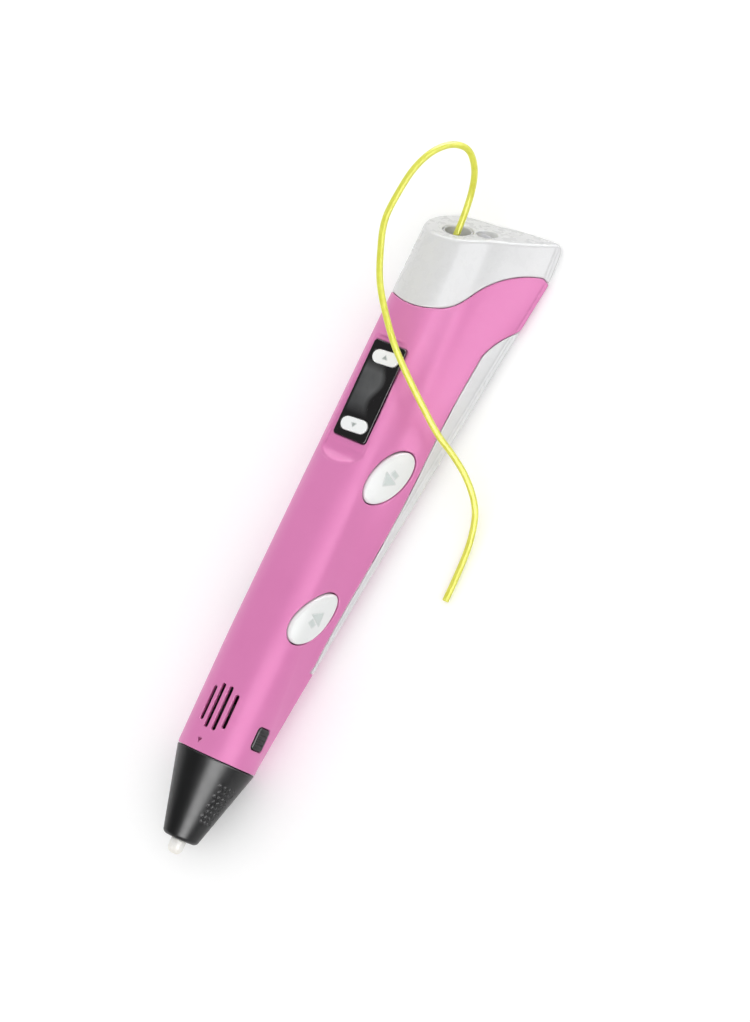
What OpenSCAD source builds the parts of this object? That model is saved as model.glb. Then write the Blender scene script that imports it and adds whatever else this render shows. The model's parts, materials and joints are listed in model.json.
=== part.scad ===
// Hand-held drawing pen that melts plastic filament.
// Inside each module X runs along the filament path, from the nozzle tip (X = 0) to the tail,
// Z faces the button side and Y points to the ridge opposite the belly keel.
// place() then lays the pen on its hidden flank with the display facing up, and puts
// the origin at the bottom centre of the resting pen.

/* [Body] */
// Radius of the barrel behind the nose cover
grip_r = 10.8; // [10.6:0.1:11]
// Radius of the barrel at the tail
tail_r = 8.55; // [8.5:0.05:8.7]
// Depth of the belly keel at the tail, from the filament line
keel_d = 27.2; // [26.8:0.1:27.8]
// Rounding of the keel's edge
keel_r = 1.75; // [1.6:0.05:1.9]
// Shell wall thickness
wall = 1.5; // [1.4:0.05:1.6]
// Gap left along the seams between the shells
seam_gap = 0.08; // [0.05:0.01:0.12]

/* [Nose] */
// Length of the visible cone of the nose cover
cone_len = 22.6; // [22:0.1:23]
// Radius of the cone's front end
cone_tip_r = 4.9; // [4.7:0.1:5.2]
// Radius of the ceramic nozzle
nozzle_r = 2.05; // [1.95:0.05:2.15]
// Diameter of the nozzle's orifice
orifice_d = 0.7; // [0.4:0.1:1]

/* [Filament] */
// Filament diameter
filament_d = 1.75; // [1.7:0.05:1.75]
// Bore radius of the inlet guide
inlet_r = 1.3; // [1.25:0.01:1.4]

/* [Controls] */
// Long axis of the oval feed buttons
oval_len = 17.4; // [16.8:0.1:17.6]
// Short axis of the oval feed buttons
oval_wid = 9.3; // [8.8:0.1:9.6]
// Travel of the oval feed buttons
oval_travel = 0.8; // [0.4:0.1:0.8]
// Length of the display window
window_len = 26.6; // [26.2:0.1:26.8]
// Width of the display window
window_wid = 9.9; // [9.6:0.1:10]
// Travel of the speed slider to each side
speed_travel = 4; // [3:0.5:4]

/* [Vent] */
// Number of vent slots
vent_count = 4; // [3:1:4]
// Width of one vent slot
vent_w = 1.05; // [0.8:0.05:1.2]

/* [Hidden] */

// front of the nose cone, and the seam where it meets the barrel
cone_x = 3.9;
seam_x = cone_x + cone_len;
// where the oblique tail face crosses the filament line
tail_x = 176.6;
// the tail face leans towards the ridge and the button side
tail_normal = [0.868, 0.233, 0.439];
// how far the keel leans away from the button side, per unit of depth
keel_lean = 0.1;
// meridians, in degrees from the button side towards the ridge
display_angle = 28.5;
vent_angle = 27;
knob_angle = 140;
latch_angle = -53;
// places along the body
latch_x = 35.6;
fan_x = 39.2;
knob_x = 69;
display_x = 128.5;
board_screw_x = [107.2, 144.6];
// heights above the filament line, along the display's meridian
recess_h = 6.75;
glass_h = 7.25;
board_h = 4.9;
// temperature keys: x, y in the display's frame
temp_down = [118.9, 0];
temp_up = [137.9, -0.3];
// oval buttons: centre on the skin, meridian they face, tilt, dome radius, dome height
feed_oval = [[110.3, -10.5, 4.5], -30, -26, 40, 0.6];
retract_oval = [[69.4, -8.2, 7.0], -41, -30, 14, 0.55];
oval_depth = 2.6;
// the motor lies in the keel, beside the filament
motor_y = -7.05;
motor_z = -1.7;
// power jack and the flange of the inlet guide, both in the tail face
jack_y = -7.25;
jack_z = -0.4;
jack_r = 2.95;
guide_flange_r = 3.85;
fit_gap = 0.1;
// depth of the flat of the rest strip, and the roll that levels the resting pen
sink = 0.15;
keel_reach = keel_d - keel_r;
rest_roll = asin((grip_r - sink - keel_r) / (keel_reach * sqrt(1 + keel_lean * keel_lean)))
  - atan(keel_lean);
// middle of the resting pen's outline, seen from above
box_mid = [92.67, -7.21];

pink = [0.84, 0.50, 0.70];
pearl = [0.93, 0.93, 0.94];
dark = [0.10, 0.10, 0.11];
board_green = [0.05, 0.30, 0.16];

// ---- body law: a barrel circle and a keel circle joined by straight flanks ----
function clamp(value, low, high) = min(max(value, low), high);
function polar(r, angle) = [r * cos(angle), r * sin(angle)];
function barrel_r(x) = grip_r - (grip_r - tail_r) * pow(clamp((x - 58) / 126, 0, 1), 1.08);
// the barrel's axis drops as it tapers, so its hidden side stays straight
function barrel_drop(x) = grip_r - barrel_r(x);
function keel_depth(x) = grip_r + (keel_d - grip_r) * pow(clamp((x - 28) / 146, 0, 1), 1.08)
  - 0.06 * max(x - 174, 0);
function arc(centre, r, from, to, count) =
  [for (i = [0:count - 1]) centre + polar(r, from + (to - from) * i / (count - 1))];
// outline [y, z] at x, set in from the skin by inset
function section(x, inset, barrel_count, keel_count) =
  let (reach = keel_depth(x) - keel_r,
       barrel_mid = [0, -barrel_drop(x)],
       span = [-reach, -keel_lean * reach] - barrel_mid,
       dist = norm(span),
       bearing = atan2(span[1], span[0]),
       slope = clamp((barrel_r(x) - keel_r) / dist, 0, 0.97),
       tangent = acos(slope),
       big_r = barrel_r(x) - inset,
       small_r = max(keel_r - inset, 0.35),
       // keeps the inset flanks parallel to the skin
       inset_dist = min((big_r - small_r) / slope, dist),
       keel_mid = barrel_mid + span / dist * (inset == 0 ? dist : inset_dist))
  concat(arc(barrel_mid, big_r, bearing + tangent, bearing + 360 - tangent, barrel_count),
         arc(keel_mid, small_r, bearing - tangent, bearing + tangent, keel_count));

// solid body from x0 to x1, set in from the skin
module loft(x0, x1, inset, step = 6) {
  barrel_count = 40;
  keel_count = inset > 0.9 ? 3 : 7;
  count = barrel_count + keel_count;
  steps = ceil((x1 - x0) / step);
  points = [for (i = [0:steps]) let (x = x0 + (x1 - x0) * i / steps)
    each [for (p = section(x, inset, barrel_count, keel_count)) [x, p[0], p[1]]]];
  sides = [for (i = [0:steps - 1]) for (j = [0:count - 1])
    let (a = i * count + j, b = i * count + (j + 1) % count)
    each [[a, b + count, b], [a, a + count, b + count]]];
  ends = [[for (j = [0:count - 1]) j], [for (j = [count - 1:-1:0]) steps * count + j]];
  polyhedron(points = points, faces = concat(sides, ends), convexity = 8);
}
// hollow band of the body, open at both ends, between two insets
module band(x0, x1, outer, inner, step = 6, inner_step = 6) difference() {
  loft(x0, x1, outer, step);
  loft(x0 - 1, x1 + 1, inner, inner_step);
}

// ---- placing ----
// lays the pen on its hidden flank, level, with the rest strip at Z = 0
module place()
  translate([-box_mid[0], -box_mid[1], grip_r - sink]) rotate([rest_roll, 0, 0]) children();
// puts children at x with local Z along a meridian
module at_x(x, angle) translate([x, 0, 0]) rotate([-angle, 0, 0]) children();
// puts children in the display's frame, X still from the nozzle tip
module at_display() at_x(0, display_angle) children();
module at_board_screws() for (x = board_screw_x) at_x(x, display_angle) children();
// puts children on an oval button's centre, local Z out of the skin
module at_oval(button) translate(button[0]) rotate([-button[1], 0, 0]) children();
module at_both_ovals() for (button = [feed_oval, retract_oval]) at_oval(button) children();
// turns local Z to X, and a flat outline's [x, y] to [y, z]
module along_x() rotate([90, 0, 90]) children();

// ---- basic shapes ----
// a rod along X
module rod(x0, x1, r, y = 0, z = 0, fn = 48)
  translate([x0, y, z]) rotate([0, 90, 0]) cylinder(h = x1 - x0, r = r, $fn = fn);
module tube(x0, x1, r, bore_r, fn = 48) difference() {
  rod(x0, x1, r, fn = fn);
  rod(x0 - 1, x1 + 1, bore_r, fn = fn);
}
module motor_rod(x0, x1, r, fn = 48) rod(x0, x1, r, motor_y, motor_z, fn);
module jack_rod(x0, x1, r) rod(x0, x1, r, jack_y, jack_z);
// rods on the two screws that hold the gearbox to the feed frame
module screw_rods(x0, x1, r)
  for (s = [-1, 1]) rod(x0, x1, r, motor_y + s * 3.1, motor_z - s * 0.7, 24);
// a profile of [radius, x] turned about the filament line
module turned(profile, fn = 96) along_x() rotate_extrude($fn = fn) polygon(profile);
// a block with rounded vertical corners, centred in X and Y, from z0 to z1
module pad(len, wid, r, z0, z1)
  translate([0, 0, z0]) linear_extrude(z1 - z0) hull()
    for (i = [-1, 1], j = [-1, 1])
      translate([i * (len / 2 - r), j * (wid / 2 - r)]) circle(r = r, $fn = 24);
// cutter for a slot along X with round ends, their centres reach away from the middle
module slot_cut(reach, r, fn) hull()
  for (s = [-1, 1]) translate([s * reach, 0, 6]) cylinder(h = 8, r = r, $fn = fn);
// a flexible wire through a list of points
module wire(points, r) for (i = [0:len(points) - 2]) hull()
  for (p = [points[i], points[i + 1]]) translate(p) sphere(r = r, $fn = 8);

// ---- zones that part the casings ----
// everything below the rest plane
module below_rest(x0, x1) rotate([-rest_roll, 0, 0])
  translate([x0, -12, -grip_r - 5 + sink]) cube([x1 - x0, 24, 5]);
// everything behind the tail face, moved forward by shift
module behind_tail(shift = 0) {
  swing = acos(tail_normal[0] / norm(tail_normal));
  roll = atan2(tail_normal[2], tail_normal[1]);
  translate([tail_x, 0, 0]) rotate([roll, 0, 0]) rotate([0, 0, swing])
    translate([-shift, -60, -60]) cube([80, 120, 120]);
}
function bezier(points, t) = len(points) == 1 ? points[0]
  : bezier([for (i = [0:len(points) - 2]) points[i] * (1 - t) + points[i + 1] * t], t);
function curve(points, steps, first = 1) =
  [for (i = [first:steps]) bezier(points, i / steps)];
// the wave [x, y] between the body and the tail cap, from the ridge to the keel
wave = concat([[158.5, 14]],
  curve([[156.6, 10.5], [152.0, 7.0], [153.0, 1.0], [155.0, -3.1]], 6, 0),
  curve([[155.0, -3.1], [156.4, -6.4], [158.2, -8.0], [162.7, -10.5]], 6),
  curve([[162.7, -10.5], [168.2, -13.6], [172.6, -19.0], [174.4, -25.2]], 8),
  [[173.6, -27.6], [172.6, -32]]);
// the belly piece [x, y]: its edge from nose end to tail end, closed below the keel
belly = concat([[56.5, -12.7]],
  curve([[58.5, -13.1], [78, -13.8], [92, -16.6], [115, -17.1]], 6, 0),
  curve([[115, -17.1], [134, -17.3], [143, -18.6], [149, -19.1]], 6),
  curve([[149, -19.1], [154, -20.4], [158, -24.0], [161.6, -27.4]], 5),
  [[163, -32], [56.5, -32]]);
module zone(outline, gap)
  translate([0, 0, -40]) linear_extrude(80) offset(delta = -gap) polygon(outline);
module tail_zone(gap = 0) zone(concat(wave, [[230, -32], [230, 14]]), gap);
module belly_zone(gap = 0) zone(belly, gap);
// height of the belly seam at x, for the snap lugs
function seam_y(x) = -13.9 - 3.3 * clamp((x - 72) / 40, 0, 1) - 1.0 * clamp((x - 124) / 16, 0, 1);

// ---- outlines of the controls ----
// an oval button's outline, tilted along the body; gap widens it
module oval(button, gap = 0) rotate(button[2]) polygon([for (i = [0:47])
  [(oval_len / 2 + gap) * cos(360 * i / 48), (oval_wid / 2 + gap) * sin(360 * i / 48)]]);
// a temperature key's body, in the display's frame
module temp_key(centre, r, z0, z1)
  translate([centre[0], centre[1], z0]) rotate(4) linear_extrude(z1 - z0) hull()
    for (s = [-1, 1]) translate([0, s * 2.1]) circle(r = r, $fn = 48);

// ---- upper shell ----
module shell_body() difference() {
  loft(seam_x, 176, 0);
  difference() {
    loft(seam_x - 1, 178, wall);
    // the pad that carries the display window
    at_x(display_x, display_angle) translate([-22.7, -8, 5.6]) cube([40, 16, 6]);
  }
}
module display_cuts() {
  // scooped recess around the display, with a rounded front end
  at_display() hull() {
    translate([113.9, 0, recess_h]) cylinder(h = 9, r = 6.2, $fn = 40);
    for (j = [-1, 1]) translate([142.1, j * 5.1, recess_h]) cylinder(h = 9, r = 1.3, $fn = 24);
  }
  // window opening and the smaller hole inside its ledge
  at_x(display_x, display_angle) {
    pad(window_len + 0.2, window_wid + 0.2, 0.9, glass_h - 1.05, 12);
    pad(24.4, 8.9, 0.6, 4, 12);
  }
}
// parallel slots, spaced evenly by angle around the barrel; the outer two are shorter
module vent_slots() {
  pitch = 12.3; // degrees
  draw_angle = 20; // meridian the slots are cut along
  for (i = [0:vent_count - 1]) {
    slot_len = i == 0 || i == vent_count - 1 ? 9.4 : 12.2;
    slot_angle = vent_angle + pitch * (i - (vent_count - 1) / 2) - draw_angle;
    at_x(39, draw_angle) translate([0, grip_r * sin(slot_angle), 0])
      slot_cut((slot_len - vent_w) / 2, vent_w / 2, 16);
  }
}
module latch_opening() at_x(latch_x, latch_angle) hull()
  for (i = [-1, 1], j = [-1, 1])
    translate([i * 2.1, j * 1.4, 6]) cylinder(h = 8, r = 1.1, $fn = 20);
module upper_shell() color(pink) place() difference() {
  union() {
    shell_body();
    // bosses for the board
    at_board_screws() translate([0, 0, board_h + 0.1]) cylinder(h = 2.6, r = 1.9, $fn = 24);
  }
  tail_zone();
  belly_zone();
  display_cuts();
  vent_slots();
  latch_opening();
  // slot of the speed slider
  at_x(knob_x, knob_angle) slot_cut(speed_travel + 1.6, 1.5, 20);
  // oval button openings
  for (button = [feed_oval, retract_oval])
    at_oval(button) translate([0, 0, -4.5]) linear_extrude(9) oval(button, 0.3);
  // alignment arrow behind the nose seam
  at_x(29.3, 33) translate([0, 0, grip_r - 0.35]) linear_extrude(2)
    polygon([[-1.0, 0], [0.7, 0.95], [0.7, -0.95]]);
  // pilot holes in the bosses
  at_board_screws() cylinder(h = 6.3, r = 0.9, $fn = 20);
  below_rest(20, 180);
}

// ---- other casings ----
// a lug that hooks behind the upper shell
module snap_lug(x, side) intersection() {
  union() {
    intersection() {
      band(x - 4, x + 4, wall - 0.3, wall + 0.9, 4, 5);
      belly_zone(seam_gap);
    }
    band(x - 4, x + 4, wall + 0.08, wall + 0.9, 4, 5);
  }
  hull() {
    translate([x, seam_y(x) - 2.2, -2 + side * 10.3]) cube([4, 1, 20], center = true);
    translate([x, seam_y(x) + 1.4, -2 + side * 10.3]) cube([2.8, 0.4, 20], center = true);
  }
}
module belly_shell() color(pearl) place() union() {
  intersection() {
    band(50, 170, 0, wall);
    belly_zone(seam_gap);
  }
  for (x = [112, 124, 137], side = [-1, 1]) snap_lug(x, side);
}
// a radial stiffening rib in front of the tail face
module tail_rib(angle) intersection() {
  band(168, 176, wall - 0.3, wall + 0.5, 4, 5);
  translate([0, -3, -2.2]) rotate([angle, 0, 0]) hull() {
    translate([170, -0.5, 2]) cube([4, 1, 1]);
    translate([170, -0.8, 30]) cube([4, 1.6, 1]);
  }
  tail_zone(seam_gap);
}
module rear_cap() color(pearl) place() difference() {
  union() {
    intersection() {
      difference() {
        loft(148, 196, 0, 5);
        difference() {
          loft(147, 197, wall, 5);
          behind_tail(1.7);
        }
      }
      tail_zone(seam_gap);
    }
    for (i = [0:7]) tail_rib(i * 45 + 10);
  }
  behind_tail();
  below_rest(150, 190);
  // holes for the inlet guide and the power jack
  rod(150, 200, guide_flange_r + fit_gap);
  jack_rod(150, 200, jack_r + fit_gap);
  // rounded corner where the tail face meets the keel
  translate([181.2, -24.2, -40]) linear_extrude(80) difference() {
    translate([0, -10]) square([12, 10]);
    circle(r = 3.3, $fn = 64);
  }
}
module nose_cover() color(dark) place() {
  // collar that slides into the barrel
  collar_r = 9.15;
  collar_bore_r = 7.9;
  difference() {
    union() {
      turned([
        [2.4, cone_x], [cone_tip_r - 0.9, cone_x], [cone_tip_r - 0.25, 4.15], [cone_tip_r, 4.8],
        [grip_r - 0.12, seam_x - 0.35], [grip_r - 0.35, seam_x - seam_gap],
        [collar_r, seam_x - seam_gap], [collar_r, 31.5], [collar_bore_r, 31.5],
        [collar_bore_r, 24], [3.4, 6.4], [2.4, 6.4]]);
      // two prongs, one on each side of the latch
      intersection() {
        turned([[collar_bore_r, 28], [collar_r, 28], [collar_r, 39], [collar_bore_r, 39]]);
        for (s = [-1, 1])
          at_x(30, latch_angle + s * 24) translate([-1, -0.8, 5]) cube([9.6, 1.6, 8]);
      }
    }
    below_rest(20, 30);
    // slot for the latch, open to the rear
    at_x(30, latch_angle) translate([-1.2, -2.9, 5]) cube([14, 5.8, 10]);
  }
}
module latch_tab() color(dark) place() at_x(latch_x, latch_angle) difference() {
  union() {
    intersection() {
      pad(6.0, 4.6, 1.0, 7.2, 11.2);
      rotate([0, 90, 0]) cylinder(h = 10, r = grip_r + 0.1, center = true, $fn = 96);
    }
    pad(7.4, 5.2, 0.6, 7.2, 8.6);
  }
  // grip grooves
  for (i = [-1, 1]) translate([i * 1.2, -3, grip_r - 0.2]) cube([0.5, 6, 2]);
}
module latch_spring() color("silver") place() at_x(latch_x, latch_angle) union() {
  translate([-2.2, -1.2, 5.0]) cube([8.4, 2.4, 0.25]);
  translate([5.9, -1.2, 5.0]) cube([0.3, 2.4, 3.2]);
  translate([-2.2, -1.2, 5.2]) cube([1.4, 2.4, 0.8]);
}

// ---- controls ----
module display_window() color([0.04, 0.04, 0.05]) place() difference() {
  at_x(display_x, display_angle) pad(window_len, window_wid, 0.8, glass_h - 1.0, glass_h);
  for (centre = [temp_down, temp_up]) at_display() temp_key(centre, 2.0, 4, 9);
}
module temp_button(centre) at_display() temp_key(centre, 1.85, 5.75, glass_h + 0.35);
module temp_up_button() color("white") place() temp_button(temp_up);
module temp_down_button() color("white") place() temp_button(temp_down);
module oled_module() color([0.1, 0.12, 0.2]) place() at_x(128.4, display_angle) union() {
  pad(13.6, 8.6, 0.3, 4.95, 6.1);
  translate([-2.5, -3, board_h + 0.02]) cube([5, 6, 0.1]);
}
// an oval prism topped by a cylinder along the body
module oval_button(button) {
  dome_r = button[3];
  dome_h = button[4];
  at_oval(button) intersection() {
    translate([0, 0, -oval_depth]) linear_extrude(6) oval(button);
    translate([0, 0, dome_h - dome_r]) rotate([0, 90, 0])
      cylinder(h = 40, r = dome_r, center = true, $fn = 120);
  }
}
module feed_button() color(pearl) place() oval_button(feed_oval);
module retract_button() color(pearl) place() oval_button(retract_oval);
module speed_knob() color(dark) place() at_x(knob_x, knob_angle) union() {
  translate([-1.5, -0.6, 6.6]) cube([3, 1.2, 4.6]);
  pad(4.6, 5.2, 1.2, 11.0, 11.8);
  for (i = [-1:1]) translate([i * 1.3 - 0.25, -2.2, 11.7]) cube([0.5, 4.4, 0.3]);
}
module speed_potentiometer() color([0.55, 0.57, 0.6]) place() at_x(knob_x, knob_angle)
  difference() {
    translate([-9, -2.6, 4.6]) cube([18, 5.2, 2.9]);
    translate([-6.2, -0.9, 6.4]) cube([12.4, 1.8, 2]);
  }

// ---- electronics ----
// small gap between a board and the parts on it
solder_gap = 0.02;
board_t = 1.0;
button_board_z = -5.5;
button_board_t = 0.8;
module main_board() color(board_green) place() difference() {
  at_display() translate([0, 0, board_h - board_t]) linear_extrude(board_t) polygon([
    [104.5, -4.0], [140.5, -4.0], [141.5, -2.8], [147.3, -2.8],
    [147.3, 3.6], [141.5, 3.6], [140.5, 5.2], [104.5, 5.2]]);
  at_board_screws() cylinder(h = 9, r = 0.95, $fn = 32);
}
// one chip on each face of the board
module controller_chip() color([0.08, 0.08, 0.08]) place() at_display() union() {
  translate([110.2, -2.5, board_h + solder_gap]) cube([5, 5, 0.55]);
  translate([130, -2.2, board_h - board_t - solder_gap - 0.6]) cube([4.4, 4.4, 0.6]);
}
module button_board() color(board_green) place()
  at_both_ovals() translate([-6, -3, button_board_z]) cube([12, 6, button_board_t]);
module tact_switches() color("silver") place() union() {
  for (centre = [temp_down, temp_up])
    at_display() translate([centre[0], centre[1], board_h + solder_gap]) {
      translate([-1.5, -1.9, 0]) cube([3, 3.8, 0.2]);
      cylinder(h = 0.4, r = 0.8, $fn = 32);
    }
  at_both_ovals() translate([0, 0, button_board_z + button_board_t + solder_gap]) {
    translate([-2.6, -2.6, 0]) cube([5.2, 5.2, 0.7]);
    cylinder(h = 1.2, r = 1.2, $fn = 32);
  }
}
module dc_jack() color([0.85, 0.85, 0.86]) place() union() {
  difference() {
    jack_rod(166.5, 176.0, jack_r);
    jack_rod(171.7, 180, 2.0);
    jack_rod(168.0, 172, 1.7);
  }
  // centre pin
  jack_rod(167.5, 171.4, 0.5);
}
module power_wires() color([0.7, 0.1, 0.1]) place() union() for (s = [0, 1])
  wire([
    [165.95, -6.4 - s * 1.2, -1.6], [164.0, -3.6 - s * 0.6, -4.4 - s * 0.9],
    [162.5, 0, -5.0 - s * 1.2], [156, 3.4 + s * 0.9, -3.4 - s * 0.9],
    [147.2, 4.2 + s * 1.1, 0.4 - s * 0.6], [145, 3.9 + s * 1.0, 1.9 - s * 0.6]], 0.4);
module fan_frame() color(dark) place() at_x(fan_x, vent_angle) difference() {
  translate([-6, -6, 3.95]) cube([12, 12, 2.9]);
  translate([0, 0, 4.45]) cylinder(h = 6, r = 5.5, $fn = 64);
  for (i = [0:2]) rotate(i * 120) translate([3.4, 0, 3]) cylinder(h = 4, r = 1.3, $fn = 32);
}
module fan_rotor() color([0.15, 0.15, 0.16]) place() at_x(fan_x, vent_angle) union() {
  translate([0, 0, 4.6]) cylinder(h = 2.05, r = 2.3, $fn = 48);
  for (i = [0:6]) rotate(i * 360 / 7)
    translate([2.1, -0.2, 4.75]) rotate([28, 0, 0]) cube([3.0, 0.35, 1.7]);
}

// ---- motor ----
motor_r = 4.9;
shaft_r = 1.45;
module motor_can() color([0.72, 0.73, 0.75]) place() difference() {
  motor_rod(139.6, 158, motor_r, 64);
  motor_rod(157, 159, 3.9, 64);
}
module motor_end_cap() color([0.12, 0.12, 0.12]) place() union() {
  motor_rod(157.1, 160, 3.8, 64);
  motor_rod(158.02, 160, 4.6, 64);
  motor_rod(160, 161.2, 1.4, 40);
  // terminals
  for (s = [-1, 1]) translate([160, motor_y + s * 3.2 - 0.6, motor_z - 0.2]) cube([1.8, 1.2, 0.4]);
}
module gearbox_housing() color([0.80, 0.68, 0.35]) place() difference() {
  motor_rod(127, 139.58, motor_r, 64);
  motor_rod(126, 134, 1.5, 40);
  screw_rods(126, 130.3, 0.53);
}
// a rod on the motor axis with a flat on its ridge side
module flatted_shaft(x0, x1, flat_x, flat_len) difference() {
  motor_rod(x0, x1, shaft_r, 40);
  translate([flat_x, motor_y + 1.05, motor_z - 3]) cube([flat_len, 3, 6]);
}
module gearbox_shaft() color([0.75, 0.76, 0.78]) place() flatted_shaft(119.6, 133.5, 119, 5.6);

// ---- gears: involute, one tooth centred on the outline's first axis ----
gear_module = 0.4;
pressure_angle = 20;
tooth_thinning = 0.045;
feed_teeth = 16;
pinion_teeth = 20;
gear_x = 120;
gear_w = 4;
mesh_angle = atan2(motor_z, motor_y);
function involute(angle) = tan(angle) * 180 / PI - angle;
function tooth_half(teeth, r) =
  let (pitch_r = gear_module * teeth / 2,
       angle = acos(min(pitch_r * cos(pressure_angle) / r, 1)))
  90 / teeth + involute(pressure_angle) - involute(angle) - tooth_thinning / pitch_r * 180 / PI;
function gear_points(teeth) =
  let (pitch_r = gear_module * teeth / 2,
       root_r = pitch_r - 1.2 * gear_module,
       tip_r = pitch_r + 0.9 * gear_module,
       foot_r = max(root_r + 0.05, pitch_r * cos(pressure_angle) + 0.01),
       // radius and half angle, from root to tip
       flank = concat([[root_r, tooth_half(teeth, foot_r)]],
         [for (r = [foot_r, pitch_r, tip_r]) [r, tooth_half(teeth, r)]]))
  [for (i = [0:teeth - 1]) let (middle = 360 * i / teeth) each concat(
    [polar(root_r, middle - 180 / teeth)],
    [for (p = flank) polar(p[0], middle - p[1])],
    [for (k = [3:-1:0]) polar(flank[k][0], middle + flank[k][1])])];
module gear(teeth, angle) along_x() linear_extrude(gear_w) rotate(angle) polygon(gear_points(teeth));

// ---- filament drive ----
guide_bore_r = 1.05;
feed_hub_r = 2.2;
bushing_r = 3.1;
module motor_pinion() color("ivory") place() difference() {
  translate([gear_x, motor_y, motor_z]) gear(pinion_teeth, mesh_angle + 180);
  flatted_shaft(119, 125, 118, 8);
}
module feed_gear() color([0.80, 0.66, 0.30]) place() difference() {
  union() {
    translate([gear_x, 0, 0]) gear(feed_teeth, mesh_angle + 180 / feed_teeth);
    rod(117.4, 126.6, feed_hub_r);
  }
  rod(110, 130, 0.95);
}
module feed_bushings() color([0.78, 0.55, 0.28]) place()
  for (x = [117.5, 124.3]) tube(x, x + 2.2, bushing_r, feed_hub_r + 0.05);
module feed_frame() color([0.20, 0.20, 0.22]) place() difference() {
  union() {
    // end plates
    for (x = [116.9, 124.6]) translate([x, 0, 0]) along_x() linear_extrude(2.0) hull() {
      circle(r = 3.75, $fn = 48);
      translate([motor_y, motor_z]) circle(r = 4.3, $fn = 48);
    }
    // bars that join the plates
    translate([118, -11.2, motor_z - 1.5]) cube([7.5, 0.9, 3]);
    translate([118, -4.5, -6.0]) cube([7.5, 2.6, 1.0]);
  }
  // bushing seats
  rod(117.45, 118.95, bushing_r + 0.02);
  rod(124.25, 126.55, bushing_r + 0.02);
  rod(110, 130, 2.3);
  motor_rod(110, 130, 1.9);
  screw_rods(110, 130, 0.55);
  // room for the pinion
  motor_rod(118.9, 124.58, 4.6);
  // room for the feed button at the end of its travel
  at_oval(feed_oval) translate([0, 0, -oval_depth - oval_travel - 0.3])
    linear_extrude(9) oval(feed_oval, 0.25);
}
module frame_screws() color("silver") place() union() {
  screw_rods(124.3, 130, 0.5);
  screw_rods(124.08, 124.56, 0.9);
}
module board_screws() color("silver") place() at_board_screws() union() {
  translate([0, 0, board_h - 1.85]) cylinder(h = 0.8, r = 1.6, $fn = 32);
  translate([0, 0, board_h - 1.2]) cylinder(h = 2.4, r = 0.75, $fn = 24);
}
module inlet_guide() color([0.80, 0.80, 0.82]) place() difference() {
  mouth_r = 3.35;
  union() {
    rod(156.5, 165, 2.1, fn = 64);
    rod(164.6, 182, guide_flange_r, fn = 64);
  }
  behind_tail(0.12);
  rod(150, 190, inlet_r, fn = 64);
  // funnel, then the wide mouth behind it
  translate([166.5, 0, 0]) rotate([0, 90, 0])
    cylinder(h = 3.2, r1 = inlet_r, r2 = mouth_r, $fn = 64);
  rod(169.69, 190, mouth_r, fn = 64);
}
module rear_guide_tube() color([0.90, 0.90, 0.88]) place() tube(128.3, 156.3, 1.75, guide_bore_r);
module ptfe_tube() color([0.93, 0.93, 0.92]) place() tube(50.2, 116.7, 1.9, guide_bore_r);
module filament() color([0.90, 0.92, 0.35]) place() rod(30, 155.6, filament_d / 2, fn = 40);

// ---- hot end ----
module hot_end_bulkhead() color([0.55, 0.36, 0.20]) place() difference() {
  rod(46.2, 49.2, 9.15, fn = 96);
  rod(40, 60, 1.95);
  for (angle = [60, 150, 240, 330]) rotate([angle, 0, 0]) rod(40, 60, 1.6, 5.4, 0, 32);
}
module heat_break_tube() color([0.75, 0.76, 0.78]) place() difference() {
  union() {
    rod(24.2, 49.6, 1.85);
    rod(44.4, 46.1, 3.0);
  }
  rod(20, 60, 1.02);
}
module ceramic_nozzle() color([0.95, 0.94, 0.91]) place() turned([
  [orifice_d / 2, 0], [0.95, 0], [1.6, 0.45], [nozzle_r, 1.3], [nozzle_r, 3.7],
  [1.75, 3.7], [1.75, 24], [1.05, 24], [1.05, 3.6], [orifice_d / 2, 2.6]], 72);
module ceramic_heater() color([0.90, 0.88, 0.82]) place() tube(8, 20, 2.7, 1.8, 64);
module insulation_sleeve() color([0.85, 0.83, 0.75]) place() tube(7.4, 19.9, 3.15, 2.75, 64);
// a bead with two leads
module thermistor() color([0.2, 0.2, 0.25]) place() union() {
  translate([22.4, 0, 2.6]) sphere(r = 0.65, $fn = 24);
  for (y = [0.25, -0.25]) rod(22.4, 30, 0.22, y, 2.6, 16);
}
module heater_wires() color([0.85, 0.2, 0.15]) place() union() for (s = [-1, 1])
  wire([
    [20.5, -2.2, s * 0.6 - 0.6], [28, -3.4, -3.6 + s * 0.5], [45, -2.7, -4.7 + s * 0.5],
    [52, -2.7, -4.7 + s * 0.5], [98, -1.8, -5.2 + s * 0.5],
    [104 - s * 0.35, 3.6 + s * 0.35, -4.4 + s * 0.5],
    [106.5 - s * 0.3, 5.6 + s * 0.5, 0.4]], 0.38);
module motor_wires() color([0.1, 0.1, 0.1]) place() union() for (s = [-1, 1])
  wire([
    [162.25, motor_y + s * 3.2, motor_z], [163.1, motor_y + s * 2.4, motor_z + 0.9],
    [163.1, -3.2 + s * 0.6, 2.6], [160, -1.6 + s * 0.5, 3.4], [147.6, 0.2 + s * 0.5, 3.4]], 0.35);

upper_shell();
belly_shell();
rear_cap();
nose_cover();
latch_tab();
latch_spring();
display_window();
oled_module();
temp_up_button();
temp_down_button();
feed_button();
retract_button();
speed_knob();
speed_potentiometer();
main_board();
button_board();
tact_switches();
controller_chip();
dc_jack();
inlet_guide();
rear_guide_tube();
motor_can();
motor_end_cap();
gearbox_housing();
gearbox_shaft();
motor_pinion();
feed_gear();
feed_bushings();
feed_frame();
ptfe_tube();
hot_end_bulkhead();
heat_break_tube();
ceramic_heater();
insulation_sleeve();
thermistor();
ceramic_nozzle();
fan_frame();
fan_rotor();
filament();
power_wires();
heater_wires();
motor_wires();
frame_screws();
board_screws();
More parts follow.
